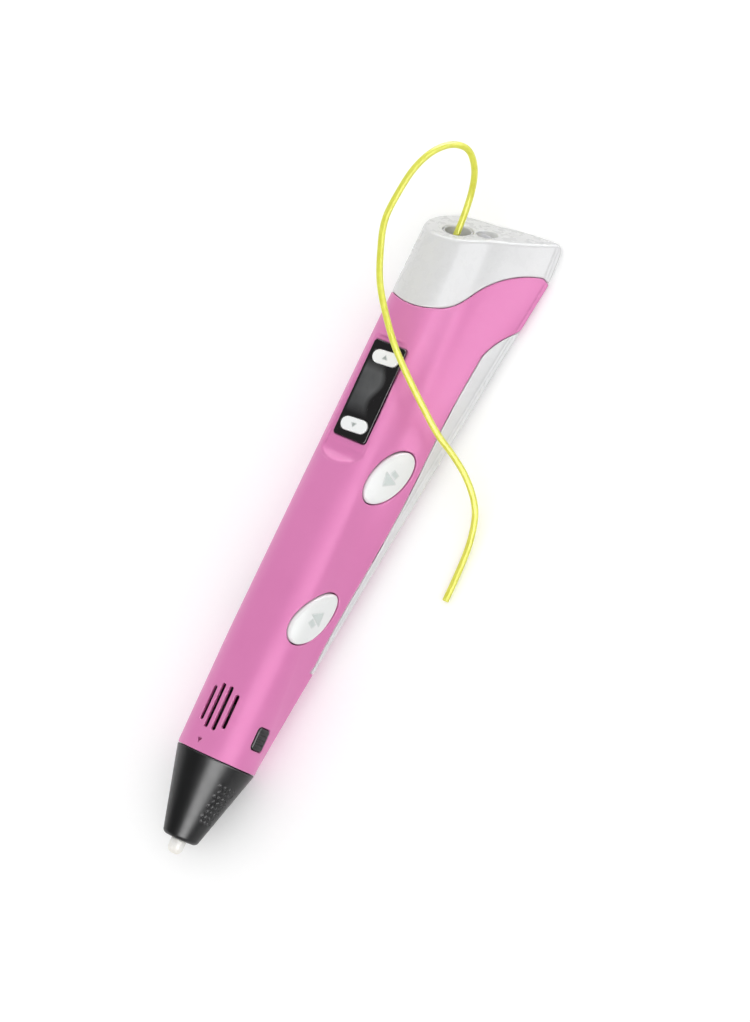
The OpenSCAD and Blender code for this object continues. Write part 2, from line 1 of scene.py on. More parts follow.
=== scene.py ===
import json
import math
import bpy
import numpy as np
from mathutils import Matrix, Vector


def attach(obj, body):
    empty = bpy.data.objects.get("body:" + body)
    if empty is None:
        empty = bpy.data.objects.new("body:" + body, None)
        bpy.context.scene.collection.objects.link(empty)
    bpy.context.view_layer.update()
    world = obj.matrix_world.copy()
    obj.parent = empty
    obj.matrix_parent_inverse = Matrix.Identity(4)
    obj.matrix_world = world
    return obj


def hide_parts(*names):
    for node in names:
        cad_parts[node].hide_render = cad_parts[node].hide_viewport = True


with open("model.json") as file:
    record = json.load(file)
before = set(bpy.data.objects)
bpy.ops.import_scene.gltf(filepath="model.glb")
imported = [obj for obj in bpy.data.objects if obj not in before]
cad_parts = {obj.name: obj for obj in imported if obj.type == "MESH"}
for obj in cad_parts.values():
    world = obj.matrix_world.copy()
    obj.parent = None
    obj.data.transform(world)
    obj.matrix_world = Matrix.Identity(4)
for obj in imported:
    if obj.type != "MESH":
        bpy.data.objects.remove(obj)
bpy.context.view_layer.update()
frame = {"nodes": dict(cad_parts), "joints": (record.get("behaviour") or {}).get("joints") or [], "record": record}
NODES = frame["nodes"]
RECORD = frame["record"]

# ------------------------------------------------------------------ the pen's own axes
# Pen axes, in mm: x runs along the filament line from the nozzle tip, z faces the button side and
# y points to the ridge opposite the keel. The row frame lays that on the pen's hidden flank.
JOINTS = {j["name"]: j for j in frame["joints"]}
MOUNTS = {m["name"]: m for m in RECORD["mounts"]}
_inlet = np.array(MOUNTS["filament_inlet"]["pos_m"], float) * 1000
OX, OY, OZ = _inlet[0] - 161.5, _inlet[1], _inlet[2]
_ax = JOINTS["temp_up_press"]["axis"]
ROLL = math.radians(28.5) - math.atan2(-_ax[1], -_ax[2])
CA, SA = math.cos(ROLL), math.sin(ROLL)


def to_row(p):
    """Pen mm to row metres, (n, 3)."""
    p = np.asarray(p, float).reshape(-1, 3)
    return np.stack([p[:, 0] + OX, p[:, 1] * CA - p[:, 2] * SA + OY, p[:, 1] * SA + p[:, 2] * CA + OZ], 1) / 1000


def turn(n):
    """A direction from pen axes to row axes, (n, 3)."""
    n = np.asarray(n, float).reshape(-1, 3)
    return np.stack([n[:, 0], n[:, 1] * CA - n[:, 2] * SA, n[:, 1] * SA + n[:, 2] * CA], 1)


# ------------------------------------------------------------------ distance functions, all in pen mm
R0, R1, KD, KR, WALL = 10.8, 8.55, 27.2, 1.75, 1.5
SEAM_X = 26.5
TAIL_X, TAIL_N = 176.6, np.array([0.868, 0.233, 0.439])
TAIL_N = TAIL_N / np.linalg.norm(TAIL_N)
DISP = 28.5
KNOB = 140.0
VENT_DIR = 20.0
H_FLOOR, H_GLASS = 6.75, 7.25
OVAL_F = (110.3, -10.5, 4.5, -30.0, -26.0, 40.0, 0.6)
OVAL_B = (69.4, -8.2, 7.0, -41.0, -30.0, 14.0, 0.55)


def barrel_r(x):
    return R0 - (R0 - R1) * np.clip((x - 58) / 126, 0, 1) ** 1.08


def keel_depth(x):
    return R0 + (KD - R0) * np.clip((x - 28) / 146, 0, 1) ** 1.08 - 0.06 * np.maximum(x - 174, 0)


def sd_body(x, y, z):
    """The closed outer body: a barrel circle and a keel circle joined by straight flanks."""
    r1 = barrel_r(x)
    k = keel_depth(x) - KR
    drop = R0 - r1
    vy, vz = -k, -0.1 * k + drop
    d = np.sqrt(vy * vy + vz * vz)
    ey, ez = vy / d, vz / d
    pz = z + drop
    along = y * ey + pz * ez
    off = np.abs(y * ez - pz * ey)
    b = np.minimum((r1 - KR) / d, 0.9995)
    a = np.sqrt(1 - b * b)
    side = -b * off + a * along
    return np.where(side < 0, np.hypot(off, along) - r1,
                    np.where(side > a * d, np.hypot(off, along - d) - KR, a * off + b * along - r1))


def waist(x, y, z):
    """How far the flank is drawn in between the barrel and the keel, and rolled off beside the keel."""
    k = keel_depth(x)
    g = np.clip((x - 66) / 70, 0, 1)
    g = g * g * (3 - 2 * g)
    yc = -(R1 + 0.4) * 0.98 + (k - KD) * 0.12
    valley = 0.62 * np.exp(-((y - yc) / 3.1) ** 2)
    roll = 0.55 * np.clip((-y - (k - 7.0)) / 6.0, 0, 1) ** 2 * np.clip((k + y) / 0.9, 0, 1)
    return g * (valley + roll)


def sd_skin(x, y, z):
    return sd_body(x, y, z) + waist(x, y, z)


def rmax(a, b, r):
    """Intersection with an edge rounded to radius r."""
    return np.minimum(np.maximum(a, b), -r) + np.hypot(np.maximum(a + r, 0), np.maximum(b + r, 0))


def rmin(a, b, r):
    """Union with a fillet of radius r."""
    return -rmax(-a, -b, r)


def local(x, y, z, x0, psi):
    """Coordinates about a meridian: along the pen, sideways towards the ridge, outwards."""
    c, s = math.cos(math.radians(psi)), math.sin(math.radians(psi))
    return x - x0, y * c - z * s, y * s + z * c


def rrect(u, v, hu, hv, r):
    qu, qv = np.abs(u) - hu + r, np.abs(v) - hv + r
    return np.hypot(np.maximum(qu, 0), np.maximum(qv, 0)) + np.minimum(np.maximum(qu, qv), 0) - r


def stadium(u, v, half, r):
    return np.hypot(np.maximum(np.abs(u) - half, 0), v) - r


def ellipse(u, v, a, b):
    k0 = np.hypot(u / a, v / b)
    k1 = np.maximum(np.hypot(u / (a * a), v / (b * b)), 1e-9)
    return k0 * (k0 - 1) / k1


def tri(u, v, tip, back, half):
    """Triangle pointing along +u from back to tip, half wide at its back."""
    n = math.hypot(tip - back, half)
    return np.maximum(back - u, ((u - tip) * half + np.abs(v) * (tip - back)) / n)


def bez(p, n):
    t = np.linspace(0, 1, n)[:, None]
    p = np.array(p, float)
    return (1 - t) ** 3 * p[0] + 3 * t * (1 - t) ** 2 * p[1] + 3 * t * t * (1 - t) * p[2] + t ** 3 * p[3]


def poly_sd(poly, px, py):
    """Signed distance to a polygon, below 0 inside."""
    p = np.array(poly, float)
    q = np.roll(p, -1, 0)
    best = np.full(px.shape, 1e9)
    inside = np.zeros(px.shape, bool)
    for (ax, ay), (bx, by) in zip(p, q):
        ex, ey = bx - ax, by - ay
        wx, wy = px - ax, py - ay
        t = np.clip((wx * ex + wy * ey) / (ex * ex + ey * ey + 1e-12), 0, 1)
        best = np.minimum(best, (wx - ex * t) ** 2 + (wy - ey * t) ** 2)
        if by != ay:
            cross = ((ay > py) != (by > py)) & (px < (bx - ax) * (py - ay) / (by - ay) + ax)
            inside ^= cross
    return np.where(inside, -1, 1) * np.sqrt(best)


class Field2:
    """A 2D signed distance kept on a fine grid and read back by bilinear interpolation."""

    def __init__(self, poly, lo, hi, step):
        self.lo, self.step = lo, step
        nx, ny = int((hi[0] - lo[0]) / step) + 2, int((hi[1] - lo[1]) / step) + 2
        gx = lo[0] + step * np.arange(nx)
        gy = lo[1] + step * np.arange(ny)
        X, Y = np.meshgrid(gx, gy, indexing="ij")
        self.v = poly_sd(poly, X, Y)
        self.n = (nx, ny)

    def __call__(self, x, y):
        u = np.clip((x - self.lo[0]) / self.step, 0, self.n[0] - 1.001)
        v = np.clip((y - self.lo[1]) / self.step, 0, self.n[1] - 1.001)
        i, j = u.astype(int), v.astype(int)
        fu, fv = u - i, v - j
        g = self.v
        return ((g[i, j] * (1 - fu) + g[i + 1, j] * fu) * (1 - fv)
                + (g[i, j + 1] * (1 - fu) + g[i + 1, j + 1] * fu) * fv)


# the wave between the body and the tail cap, and the edge of the belly piece, as (x, y) outlines
WAVE = np.concatenate([
    [[158.5, 14.0]],
    bez([[156.6, 10.5], [152.0, 7.0], [153.0, 1.0], [155.0, -3.1]], 24),
    bez([[155.0, -3.1], [156.4, -6.4], [158.2, -8.0], [162.7, -10.5]], 24)[1:],
    bez([[162.7, -10.5], [168.2, -13.6], [172.6, -19.0], [174.4, -25.2]], 28)[1:],
    [[173.6, -27.6], [172.6, -32]]])
BELLY = np.concatenate([
    [[56.5, -12.7]],
    bez([[58.5, -13.1], [78, -13.8], [92, -16.6], [115, -17.1]], 30),
    bez([[115, -17.1], [134, -17.3], [143, -18.6], [149, -19.1]], 24)[1:],
    bez([[149, -19.1], [154, -20.4], [158, -24.0], [161.6, -27.4]], 24)[1:],
    [[163, -32], [56.5, -32]]])
tail_f = Field2(np.concatenate([WAVE, [[230, -32], [230, 14]]]), (140, -34), (200, 14), 0.12)
belly_f = Field2(BELLY, (48, -34), (172, -8), 0.12)


def tail_sd(x, y):
    return np.where(x < 140.5, 140.5 - x + 9.5, tail_f(x, y))


def belly_sd(x, y):
    far = np.where(x < 48.5, 48.5 - x + 8, np.where(y > -8.5, y + 8.5 + 4, 1e9))
    near = belly_f(x, y)
    return np.where((x < 48.5) | (y > -8.5), np.maximum(near, np.where(far > 1e8, 0, far)), near)


def floor_cut(x, y, z):
    """How far below the table a point is."""
    return -(y * SA + z * CA + OZ) + 0.02


def plane_tail(x, y, z):
    return (x - TAIL_X) * TAIL_N[0] + y * TAIL_N[1] + z * TAIL_N[2]


def cut(d, tool, r=0.3):
    return rmax(d, -tool, r)


def part_of(mask, d, fn):
    """Applies fn only where mask holds."""
    if mask.any():
        d = d.copy()
        d[mask] = fn(d[mask], mask)
    return d


def oval_uv(o, x, y, z):
    lx, ly, lz = local(x - o[0], y - o[1], z - o[2], 0, o[3])
    c, s = math.cos(math.radians(o[4])), math.sin(math.radians(o[4]))
    return lx * c + ly * s, -lx * s + ly * c, lz


def f_upper(x, y, z):
    body = sd_body(x, y, z)
    d = rmax(body + waist(x, y, z), SEAM_X + 0.1 - x, 0.3)
    d = rmax(d, 0.07 - tail_sd(x, y), 0.34)
    d = rmax(d, 0.05 - belly_sd(x, y), 0.28)

    def disp(dd, m):
        lx, ly, lz = local(x[m], y[m], z[m], 0, DISP)
        slope = (H_FLOOR + 0.86 * (111.3 - lx) - lz) / 1.319
        deep = rmax(slope, H_FLOOR - lz, 1.2)
        side = np.maximum(np.abs(ly) - 6.15 - 0.10 * (lz - H_FLOOR), lx - 143.2 - 0.1 * (lz - H_FLOOR))
        tool = rmax(side, deep, 0.55)
        out = cut(dd, tool, 0.42)
        out = cut(out, np.maximum(rrect(lx - 128.5, ly, 13.45, 5.1, 0.95), 6.1 - lz), 0.12)
        return out

    # the cavity, less the pad that carries the window
    lx, ly, lz = local(x, y, z, 0, DISP)
    pad = np.maximum(np.maximum(np.abs(lx - 125.8) - 20.0, np.abs(ly) - 8.0), 5.6 - lz)
    hollow = np.maximum(body + WALL, -pad)
    d = part_of((x > 103) & (x < 146) & (lz > 2), d, disp)
    d = np.maximum(d, -hollow)
    d = part_of((x > 113) & (x < 144) & (lz > 2), d,
                lambda dd, m: np.maximum(dd, -np.maximum(rrect(lx[m] - 128.5, ly[m], 12.2, 4.45, 0.6), 4 - lz[m])))

    def vents(dd, m):
        for i, length in enumerate((9.4, 12.2, 12.2, 9.4)):
            a, b, c = local(x[m], y[m], z[m], 39, VENT_DIR)
            b = b - R0 * math.sin(math.radians(27 + 12.3 * (i - 1.5) - VENT_DIR))
            dd = cut(dd, np.maximum(stadium(a, b, (length - 1.05) / 2, 0.53), 5 - c), 0.22)
        return dd
    d = part_of((x > 31) & (x < 47) & (z > 0), d, vents)

    def latch(dd, m):
        a, b, c = local(x[m], y[m], z[m], 35.6, -53)
        return cut(dd, np.maximum(rrect(a, b, 3.2, 2.5, 1.1), 6 - c), 0.3)
    d = part_of((x > 31) & (x < 41) & (y < 0), d, latch)

    def slider(dd, m):
        a, b, c = local(x[m], y[m], z[m], 69, KNOB)
        dd = cut(dd, np.maximum(stadium(a, b, 5.6, 1.5), 6 - c), 0.3)
        # scale of graduation lines beside the slot
        for k in range(5):
            q = rrect(a - (k - 2) * 2.0, b + 3.4, 0.17, 0.4 + 0.16 * k, 0.15)
            dd = np.maximum(dd, -np.maximum(q, 10.55 - np.hypot(b, c)))
        return dd
    d = part_of((x > 60) & (x < 78) & (y > 0), d, slider)

    for o in (OVAL_F, OVAL_B):
        def oval_hole(dd, m, o=o):
            u, v, w = oval_uv(o, x[m], y[m], z[m])
            return cut(dd, np.maximum(ellipse(u, v, 9.02, 4.97), np.abs(w) - 4.5), 0.32)
        d = part_of((np.abs(x - o[0]) < 11) & (y < 3), d, oval_hole)

    def arrow(dd, m):
        a, b, c = local(x[m], y[m], z[m], 29.4, 33)
        return np.maximum(dd, -np.maximum(tri(-a, b, 0.8, -0.5, 0.68), 10.45 - c))
    d = part_of((x > 27.5) & (x < 31.5) & (z > 0), d, arrow)
    return rmax(d, floor_cut(x, y, z), 0.15)


def arrow_mark(P):
    """Paint in the alignment arrow."""
    a, b, c = local(P[:, 0], P[:, 1], P[:, 2], 29.4, 33)
    q = np.where(c > 0, tri(-a, b, 0.8, -0.5, 0.68), 9.0)
    return np.clip(0.35 - q / 0.3, 0, 1)


def crease(x, y, z):
    """A faint line moulded along the belly, just above the keel's edge."""
    return np.exp(-((y + keel_depth(x) - 1.55) / 0.30) ** 2)


def f_belly(x, y, z):
    body = sd_body(x, y, z)
    d = rmax(body + waist(x, y, z) + 0.10 * crease(x, y, z), belly_sd(x, y) + 0.07, 0.28)
    d = np.maximum(d, -(body + WALL))
    # a lip that hooks behind the upper shell
    lip = np.maximum(np.maximum(body + WALL + 0.1, -(body + WALL + 0.9)), np.abs(belly_sd(x, y) + 0.2) - 1.3)
    lip = np.maximum(lip, np.abs(x - 106) - 46)
    d = np.minimum(d, np.maximum(lip, np.abs((x - 72 + 10) % 20 - 10) - 3))
    return rmax(d, floor_cut(x, y, z), 0.15)


def f_cap(x, y, z):
    body = sd_body(x, y, z)
    d = rmax(body + waist(x, y, z) + 0.10 * crease(x, y, z) * np.clip((x - 168) / 4, 0, 1), tail_sd(x, y) + 0.07, 0.34)
    face = plane_tail(x, y, z)
    d = rmax(d, face, 0.8)
    qx, qy = np.maximum(x - 181.2, 0), np.maximum(-24.2 - y, 0)
    corner = np.hypot(qx, qy) + np.minimum(np.maximum(x - 181.2, -24.2 - y), 0) - 3.3
    d = rmax(d, corner, 0.7)
    d = np.maximum(d, -np.maximum(body + WALL, face + 1.7))
    rho = np.hypot(y, z)
    d = cut(d, np.maximum(rho - 3.97, 150 - x), 0.3)
    jack = np.hypot(y + 7.25, z + 0.4)
    d = cut(d, np.maximum(jack - 2.66, 150 - x), 0.2)
    return rmax(d, floor_cut(x, y, z), 0.15)


CONE_N = math.hypot(26.15 - 4.8, 10.68 - 4.9)
CC, CS = (26.15 - 4.8) / CONE_N, (10.68 - 4.9) / CONE_N


def dots():
    """Grip dots on the keel side of the cone: a plain staggered field."""
    rows = []
    for i in range(8):
        x = 10.5 + i * 1.45
        for k in range(-1, 3):
            psi = -52 + (k + 0.5 * (i % 2)) * 10.5
            rows.append((x, psi))
    return rows


def f_nose(x, y, z):
    rho = np.hypot(y, z)
    cone = (rho - 4.9) * CC - (x - 4.8) * CS
    outer = rmax(rmax(cone, 3.9 - x, 1.0), x - 26.40, 0.3)
    a = np.degrees(np.arctan2(y, z))
    for dx, psi in dots():
        rr = 4.9 + (dx - 4.8) * (CS / CC)
        m = (np.abs(x - dx) < 1.2) & (np.abs(a - psi) < 16)
        if m.any():
            cy, cz = math.sin(math.radians(psi)) * rr, math.cos(math.radians(psi)) * rr
            q = np.sqrt((x[m] - dx) ** 2 + (y[m] - cy) ** 2 + (z[m] - cz) ** 2 * 1.0)
            outer = outer.copy()
            outer[m] = rmin(outer[m], np.maximum(q - 0.42, cone[m] - 0.2), 0.1)
    collar = rmax(rmax(rho - 9.15, x - 31.5, 0.25), 24 - x, 0.01)
    d = np.minimum(outer, collar)
    ri = np.where(x < 6.4, 2.4, np.where(x < 24, 3.4 + (x - 6.4) * (4.5 / 17.6), 7.9))
    d = cut(d, (rho - ri) * 0.96, 0.2)
    for s in (-1, 1):
        lx, ly, lz = local(x, y, z, 30, -53 + s * 24)
        arm = np.maximum(np.maximum(7.9 - rho, rho - 9.15), np.maximum(np.maximum(x - 38.6, 29 - x), np.maximum(np.abs(ly) - 0.8, 5 - lz)))
        d = np.minimum(d, arm)
    lx, ly, lz = local(x, y, z, 30, -53)
    d = np.maximum(d, -np.maximum(np.maximum(np.abs(ly) - 2.9, 28.8 - x), 5 - lz))
    return rmax(d, floor_cut(x, y, z), 0.15)


def f_latch(x, y, z):
    lx, ly, lz = local(x, y, z, 35.6, -53)
    top = rmax(rmax(rrect(lx, ly, 3.0, 2.3, 1.0), np.hypot(ly, lz) - 10.9, 0.45), 7.2 - lz, 0.1)
    for gx in (-1.25, 0.0, 1.25):
        top = cut(top, np.maximum(np.hypot(lx - gx, lz - 11.0) - 0.42, np.abs(ly) - 1.5), 0.12)
    base = rmax(rrect(lx, ly, 3.7, 2.6, 0.6), np.abs(lz - 7.9) - 0.7, 0.15)
    return np.minimum(top, base)


def f_glass(x, y, z):
    lx, ly, lz = local(x, y, z, 128.5, DISP)
    d = rmax(rrect(lx, ly, 13.3, 4.95, 0.85), np.abs(lz - (H_GLASS - 0.5)) - 0.5, 0.14)
    for kx, ky in ((118.9, 0.0), (137.9, -0.3)):
        u, v = key_uv(lx + 128.5 - kx, ly - ky)
        d = cut(d, stadium(v, u, 2.1, 2.02), 0.10)
    return d


def key_uv(u, v):
    c, s = math.cos(math.radians(4)), math.sin(math.radians(4))
    return u * c + v * s, -u * s + v * c


def make_key(kx, ky, sign):
    def f(x, y, z):
        lx, ly, lz = local(x, y, z, 0, DISP)
        u, v = key_uv(lx - kx, ly - ky)
        crown = lz - (H_GLASS + 0.42) + 0.018 * (u * u + 0.3 * v * v)
        d = rmax(rmax(stadium(v, u, 2.1, 1.86), crown, 0.38), 5.75 - lz, 0.1)
        # raised triangle
        mark = rmax(tri(sign * u, v, 0.62, -0.48, 0.72), lz - (H_GLASS + 0.54), 0.08)
        return rmin(d, np.maximum(mark, 6.5 - lz), 0.04)
    return f


def make_oval(o, sign):
    def f(x, y, z):
        u, v, w = oval_uv(o, x, y, z)
        lx, ly, lz = local(x - o[0], y - o[1], z - o[2], 0, o[3])
        dome = np.hypot(ly, w + o[5] - o[6]) - o[5]
        dome = np.maximum(dome, np.hypot(lx, w + 150 - o[6] - 0.05) - 150)
        d = rmax(rmax(ellipse(u, v, 8.7, 4.65), dome, 0.75), -2.6 - w, 0.2)
        # raised arrow: a head and a bar across its foot
        a = sign * u
        head = tri(a, v, 2.8, -0.25, 2.15)
        bar = np.maximum(np.abs(a + 1.5) - 0.68, np.abs(v) - 0.95)
        mark = rmax(np.minimum(head, bar), dome - 0.14, 0.09)
        return rmin(d, np.maximum(mark, -dome - 0.6), 0.06)
    return f


def f_inlet(x, y, z):
    rho = np.hypot(y, z)
    d = rmax(rho - 3.82, 164.6 - x, 0.2)
    d = rmax(d, plane_tail(x, y, z) + 0.14, 0.35)
    d = np.minimum(d, np.maximum(rho - 2.1, np.maximum(156.5 - x, x - 166)))
    bore = np.where(x < 166.5, 1.3, np.where(x < 169.7, 1.3 + (x - 166.5) * (2.0 / 3.2), 3.3))
    return cut(d, (rho - bore) * 0.9, 0.25)


def f_jack(x, y, z):
    rho = np.hypot(y + 7.25, z + 0.4)
    d = rmax(rmax(rho - 2.6, x - 178.1, 0.2), 166.5 - x, 0.2)
    d = cut(d, np.maximum(rho - 1.75, 171.7 - x), 0.15)
    d = np.maximum(d, -np.maximum(np.maximum(rho - 1.5, 168.0 - x), x - 172))
    pin = rmax(rho - 0.5, x - 176.4, 0.3)
    return np.minimum(d, np.maximum(pin, 167 - x))


def f_nozzle(x, y, z):
    rho = np.hypot(y, z)
    prof = np.where(x < 0.45, 0.95 + (x / 0.45) * 0.65, np.where(x < 1.3, 1.6 + (x - 0.45) * (0.45 / 0.85), np.where(x < 3.7, 2.05, 1.75)))
    d = rmax((rho - np.minimum(prof, 2.05)) * 0.82, -x, 0.18)
    d = rmax(d, x - 24, 0.2)
    bore = np.where(x < 2.6, 0.35, np.where(x < 3.6, 0.35 + (x - 2.6) * 0.7, 1.05))
    return cut(d, (rho - bore) * 0.8, 0.08)


def f_knob(x, y, z):
    lx, ly, lz = local(x, y, z, 69, KNOB)
    stem = np.maximum(np.maximum(np.abs(lx) - 1.5, np.abs(ly) - 0.6), np.abs(lz - 8.9) - 2.3)
    head = rmax(rrect(lx, ly, 2.3, 2.6, 1.1), np.abs(lz - 11.4) - 0.4, 0.3)
    for gx in (-1.3, 0.0, 1.3):
        rib = rmax(rrect(lx - gx, ly, 0.27, 2.2, 0.2), lz - 12.02, 0.12)
        head = rmin(head, np.maximum(rib, 11.4 - lz), 0.1)
    return np.minimum(stem, head)


# ------------------------------------------------------------------ meshing a distance function
EDGES = [(0, 1), (2, 3), (4, 5), (6, 7), (0, 2), (1, 3), (4, 6), (5, 7), (0, 4), (1, 5), (2, 6), (3, 7)]
CORNER = np.array([[i, j, k] for i in (0, 1) for j in (0, 1) for k in (0, 1)])


def surface_net(f, lo, hi, h):
    """A quad mesh of f = 0 inside the box, with each point then moved onto the surface itself."""
    B = 8
    lo = np.array(lo, float)
    hi = np.array(hi, float)
    nb = np.ceil((hi - lo) / h / B).astype(int) + 1
    n = nb * B
    V = np.empty(n, np.float32)
    bi = np.stack(np.meshgrid(*[np.arange(k) for k in nb], indexing="ij"), -1).reshape(-1, 3)
    ctr = lo + h * (bi * B + (B - 1) / 2)
    fc = f(ctr[:, 0].copy(), ctr[:, 1].copy(), ctr[:, 2].copy())
    near = np.abs(fc) < h * (B / 2) * 1.7321 * 1.9 + 0.3
    for (i, j, k), v in zip(bi[~near] * B, fc[~near]):
        V[i:i + B, j:j + B, k:k + B] = v
    off = np.stack(np.meshgrid(*[np.arange(B)] * 3, indexing="ij"), -1).reshape(-1, 3)
    act = bi[near] * B
    for s in range(0, len(act), 1200):
        blk = act[s:s + 1200]
        pts = (blk[:, None, :] + off[None]).reshape(-1, 3) * h + lo
        vals = f(pts[:, 0].copy(), pts[:, 1].copy(), pts[:, 2].copy()).reshape(len(blk), B, B, B)
        for (i, j, k), v in zip(blk, vals):
            V[i:i + B, j:j + B, k:k + B] = v
    for ax in range(3):
        V[tuple(0 if a == ax else slice(None) for a in range(3))] = 1
        V[tuple(-1 if a == ax else slice(None) for a in range(3))] = 1
    S = V < 0
    cnt = np.zeros(n - 1, np.int8)
    for c in CORNER:
        cnt += S[c[0]:n[0] - 1 + c[0], c[1]:n[1] - 1 + c[1], c[2]:n[2] - 1 + c[2]]
    cells = np.argwhere((cnt > 0) & (cnt < 8))
    idm = np.full(n - 1, -1, np.int32)
    idm[cells[:, 0], cells[:, 1], cells[:, 2]] = np.arange(len(cells))
    cv = np.stack([V[cells[:, 0] + c[0], cells[:, 1] + c[1], cells[:, 2] + c[2]] for c in CORNER], 1)
    acc = np.zeros((len(cells), 3))
    num = np.zeros(len(cells))
    for a, b in EDGES:
        va, vb = cv[:, a], cv[:, b]
        m = (va < 0) != (vb < 0)
        t = np.where(m, va / np.where(m, va - vb, 1), 0)
        p = CORNER[a] + t[:, None] * (CORNER[b] - CORNER[a])
        acc += np.where(m[:, None], p, 0)
        num += m
    P = lo + h * (cells + acc / num[:, None])
    quads = []
    for ax in range(3):
        u, v = (ax + 1) % 3, (ax + 2) % 3
        sl0 = [slice(None)] * 3
        sl1 = [slice(None)] * 3
        sl0[ax], sl1[ax] = slice(0, -1), slice(1, None)
        diff = S[tuple(sl0)] != S[tuple(sl1)]
        e = np.argwhere(diff)
        e = e[(e[:, u] > 0) & (e[:, v] > 0) & (e[:, u] < n[u] - 1) & (e[:, v] < n[v] - 1)]
        ins = S[e[:, 0], e[:, 1], e[:, 2]]
        q = []
        for du, dv in ((-1, -1), (0, -1), (0, 0), (-1, 0)):
            c = e.copy()
            c[:, u] += du
            c[:, v] += dv
            q.append(idm[c[:, 0], c[:, 1], c[:, 2]])
        q = np.stack(q, 1)
        q[~ins] = q[~ins][:, ::-1]
        quads.append(q)
    Q = np.concatenate(quads)
    Q = Q[(Q >= 0).all(1)]
    # onto the surface
    e = 0.02
    for _ in range(4):
        g, v = gradient(f, P, e)
        L2 = np.maximum((g * g).sum(1), 0.05)
        step = -(v / L2)[:, None] * g
        ln = np.linalg.norm(step, axis=1)
        step *= np.minimum(1, 0.35 * h / np.maximum(ln, 1e-9))[:, None]
        P = P + step
    g, _ = gradient(f, P, 0.35 * h)
    ln = np.linalg.norm(g, axis=1)
    N = g / np.maximum(ln, 1e-9)[:, None]
    return P, Q, N, bend_of(f, P, 0.22)


def gradient(f, P, e):
    v = f(P[:, 0].copy(), P[:, 1].copy(), P[:, 2].copy())
    g = np.empty_like(P)
    for a in range(3):
        A, B = P.copy(), P.copy()
        A[:, a] += e
        B[:, a] -= e
        g[:, a] = (f(A[:, 0], A[:, 1], A[:, 2]) - f(B[:, 0], B[:, 1], B[:, 2])) / (2 * e)
    return g, v


def bend_of(f, P, e):
    """Sum of the two curvatures: above 0 on rounded edges, below 0 in creases."""
    v = f(P[:, 0].copy(), P[:, 1].copy(), P[:, 2].copy())
    s = np.zeros(len(P))
    for a in range(3):
        for sg in (-e, e):
            A = P.copy()
            A[:, a] += sg
            s += f(A[:, 0], A[:, 1], A[:, 2])
    return (s - 6 * v) / (e * e)


def build_mesh(name, P, Q, N=None, attrs=None, mat=None):
    me = bpy.data.meshes.new(name)
    k = Q.shape[1]
    me.vertices.add(len(P))
    me.vertices.foreach_set("co", to_row(P).astype(np.float32).ravel())
    me.loops.add(Q.size)
    me.loops.foreach_set("vertex_index", Q.astype(np.int32).ravel())
    me.polygons.add(len(Q))
    me.polygons.foreach_set("loop_start", np.arange(0, Q.size, k, dtype=np.int32))
    me.update(calc_edges=True)
    me.validate()
    me.shade_smooth()
    for key, val in (attrs or {}).items():
        at = me.attributes.new(key, "FLOAT", "POINT")
        at.data.foreach_set("value", np.asarray(val, np.float32))
    if N is not None and len(me.vertices) == len(N):
        me.normals_split_custom_set_from_vertices(turn(N).tolist())
    ob = bpy.data.objects.new(name, me)
    bpy.context.scene.collection.objects.link(ob)
    if mat:
        me.materials.append(mat)
    return ob


def drop_loose(P, Q, N, K, keep=60):
    """Leaves out specks smaller than keep faces."""
    par = np.arange(len(P))
    e = np.concatenate([Q[:, [0, 1]], Q[:, [1, 2]], Q[:, [2, 3]]])
    for _ in range(200):
        a, b = par[e[:, 0]], par[e[:, 1]]
        m = np.minimum(a, b)
        new = par.copy()
        np.minimum.at(new, e[:, 0], m)
        np.minimum.at(new, e[:, 1], m)
        new = new[new]
        if (new == par).all():
            break
        par = new
    lab, cnt = np.unique(par, return_counts=True)
    good = lab[cnt >= keep]
    ok = np.isin(par, good)
    mp = np.cumsum(ok) - 1
    Q = Q[ok[Q].all(1)]
    return P[ok], mp[Q], N[ok], K[ok]


def piece(name, f, lo, hi, h, mat, body, nodes, marks=None):
    P, Q, N, K = surface_net(f, lo, hi, h * (1))
    P, Q, N, K = drop_loose(P, Q, N, K)
    # edge drives a painted highlight on rounded edges, crease drives painted shade in creases
    attrs = {"edge": np.clip((K - 0.45) / 2.2, 0, 1), "crease": np.clip((-K - 0.25) / 2.0, 0, 1)}
    if marks is not None:
        attrs["mark"] = marks(P)
    ob = build_mesh(name, P, Q, N, attrs, mat)
    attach(ob, body)
    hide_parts(*nodes)
    print(name, len(P), "points", len(Q), "faces")
    return ob


# ------------------------------------------------------------------ materials
def srgb(r, g, b):
    return tuple(((c / 255) / 12.92 if c / 255 <= 0.04045 else ((c / 255 + 0.055) / 1.055) ** 2.4) for c in (r, g, b)) + (1,)


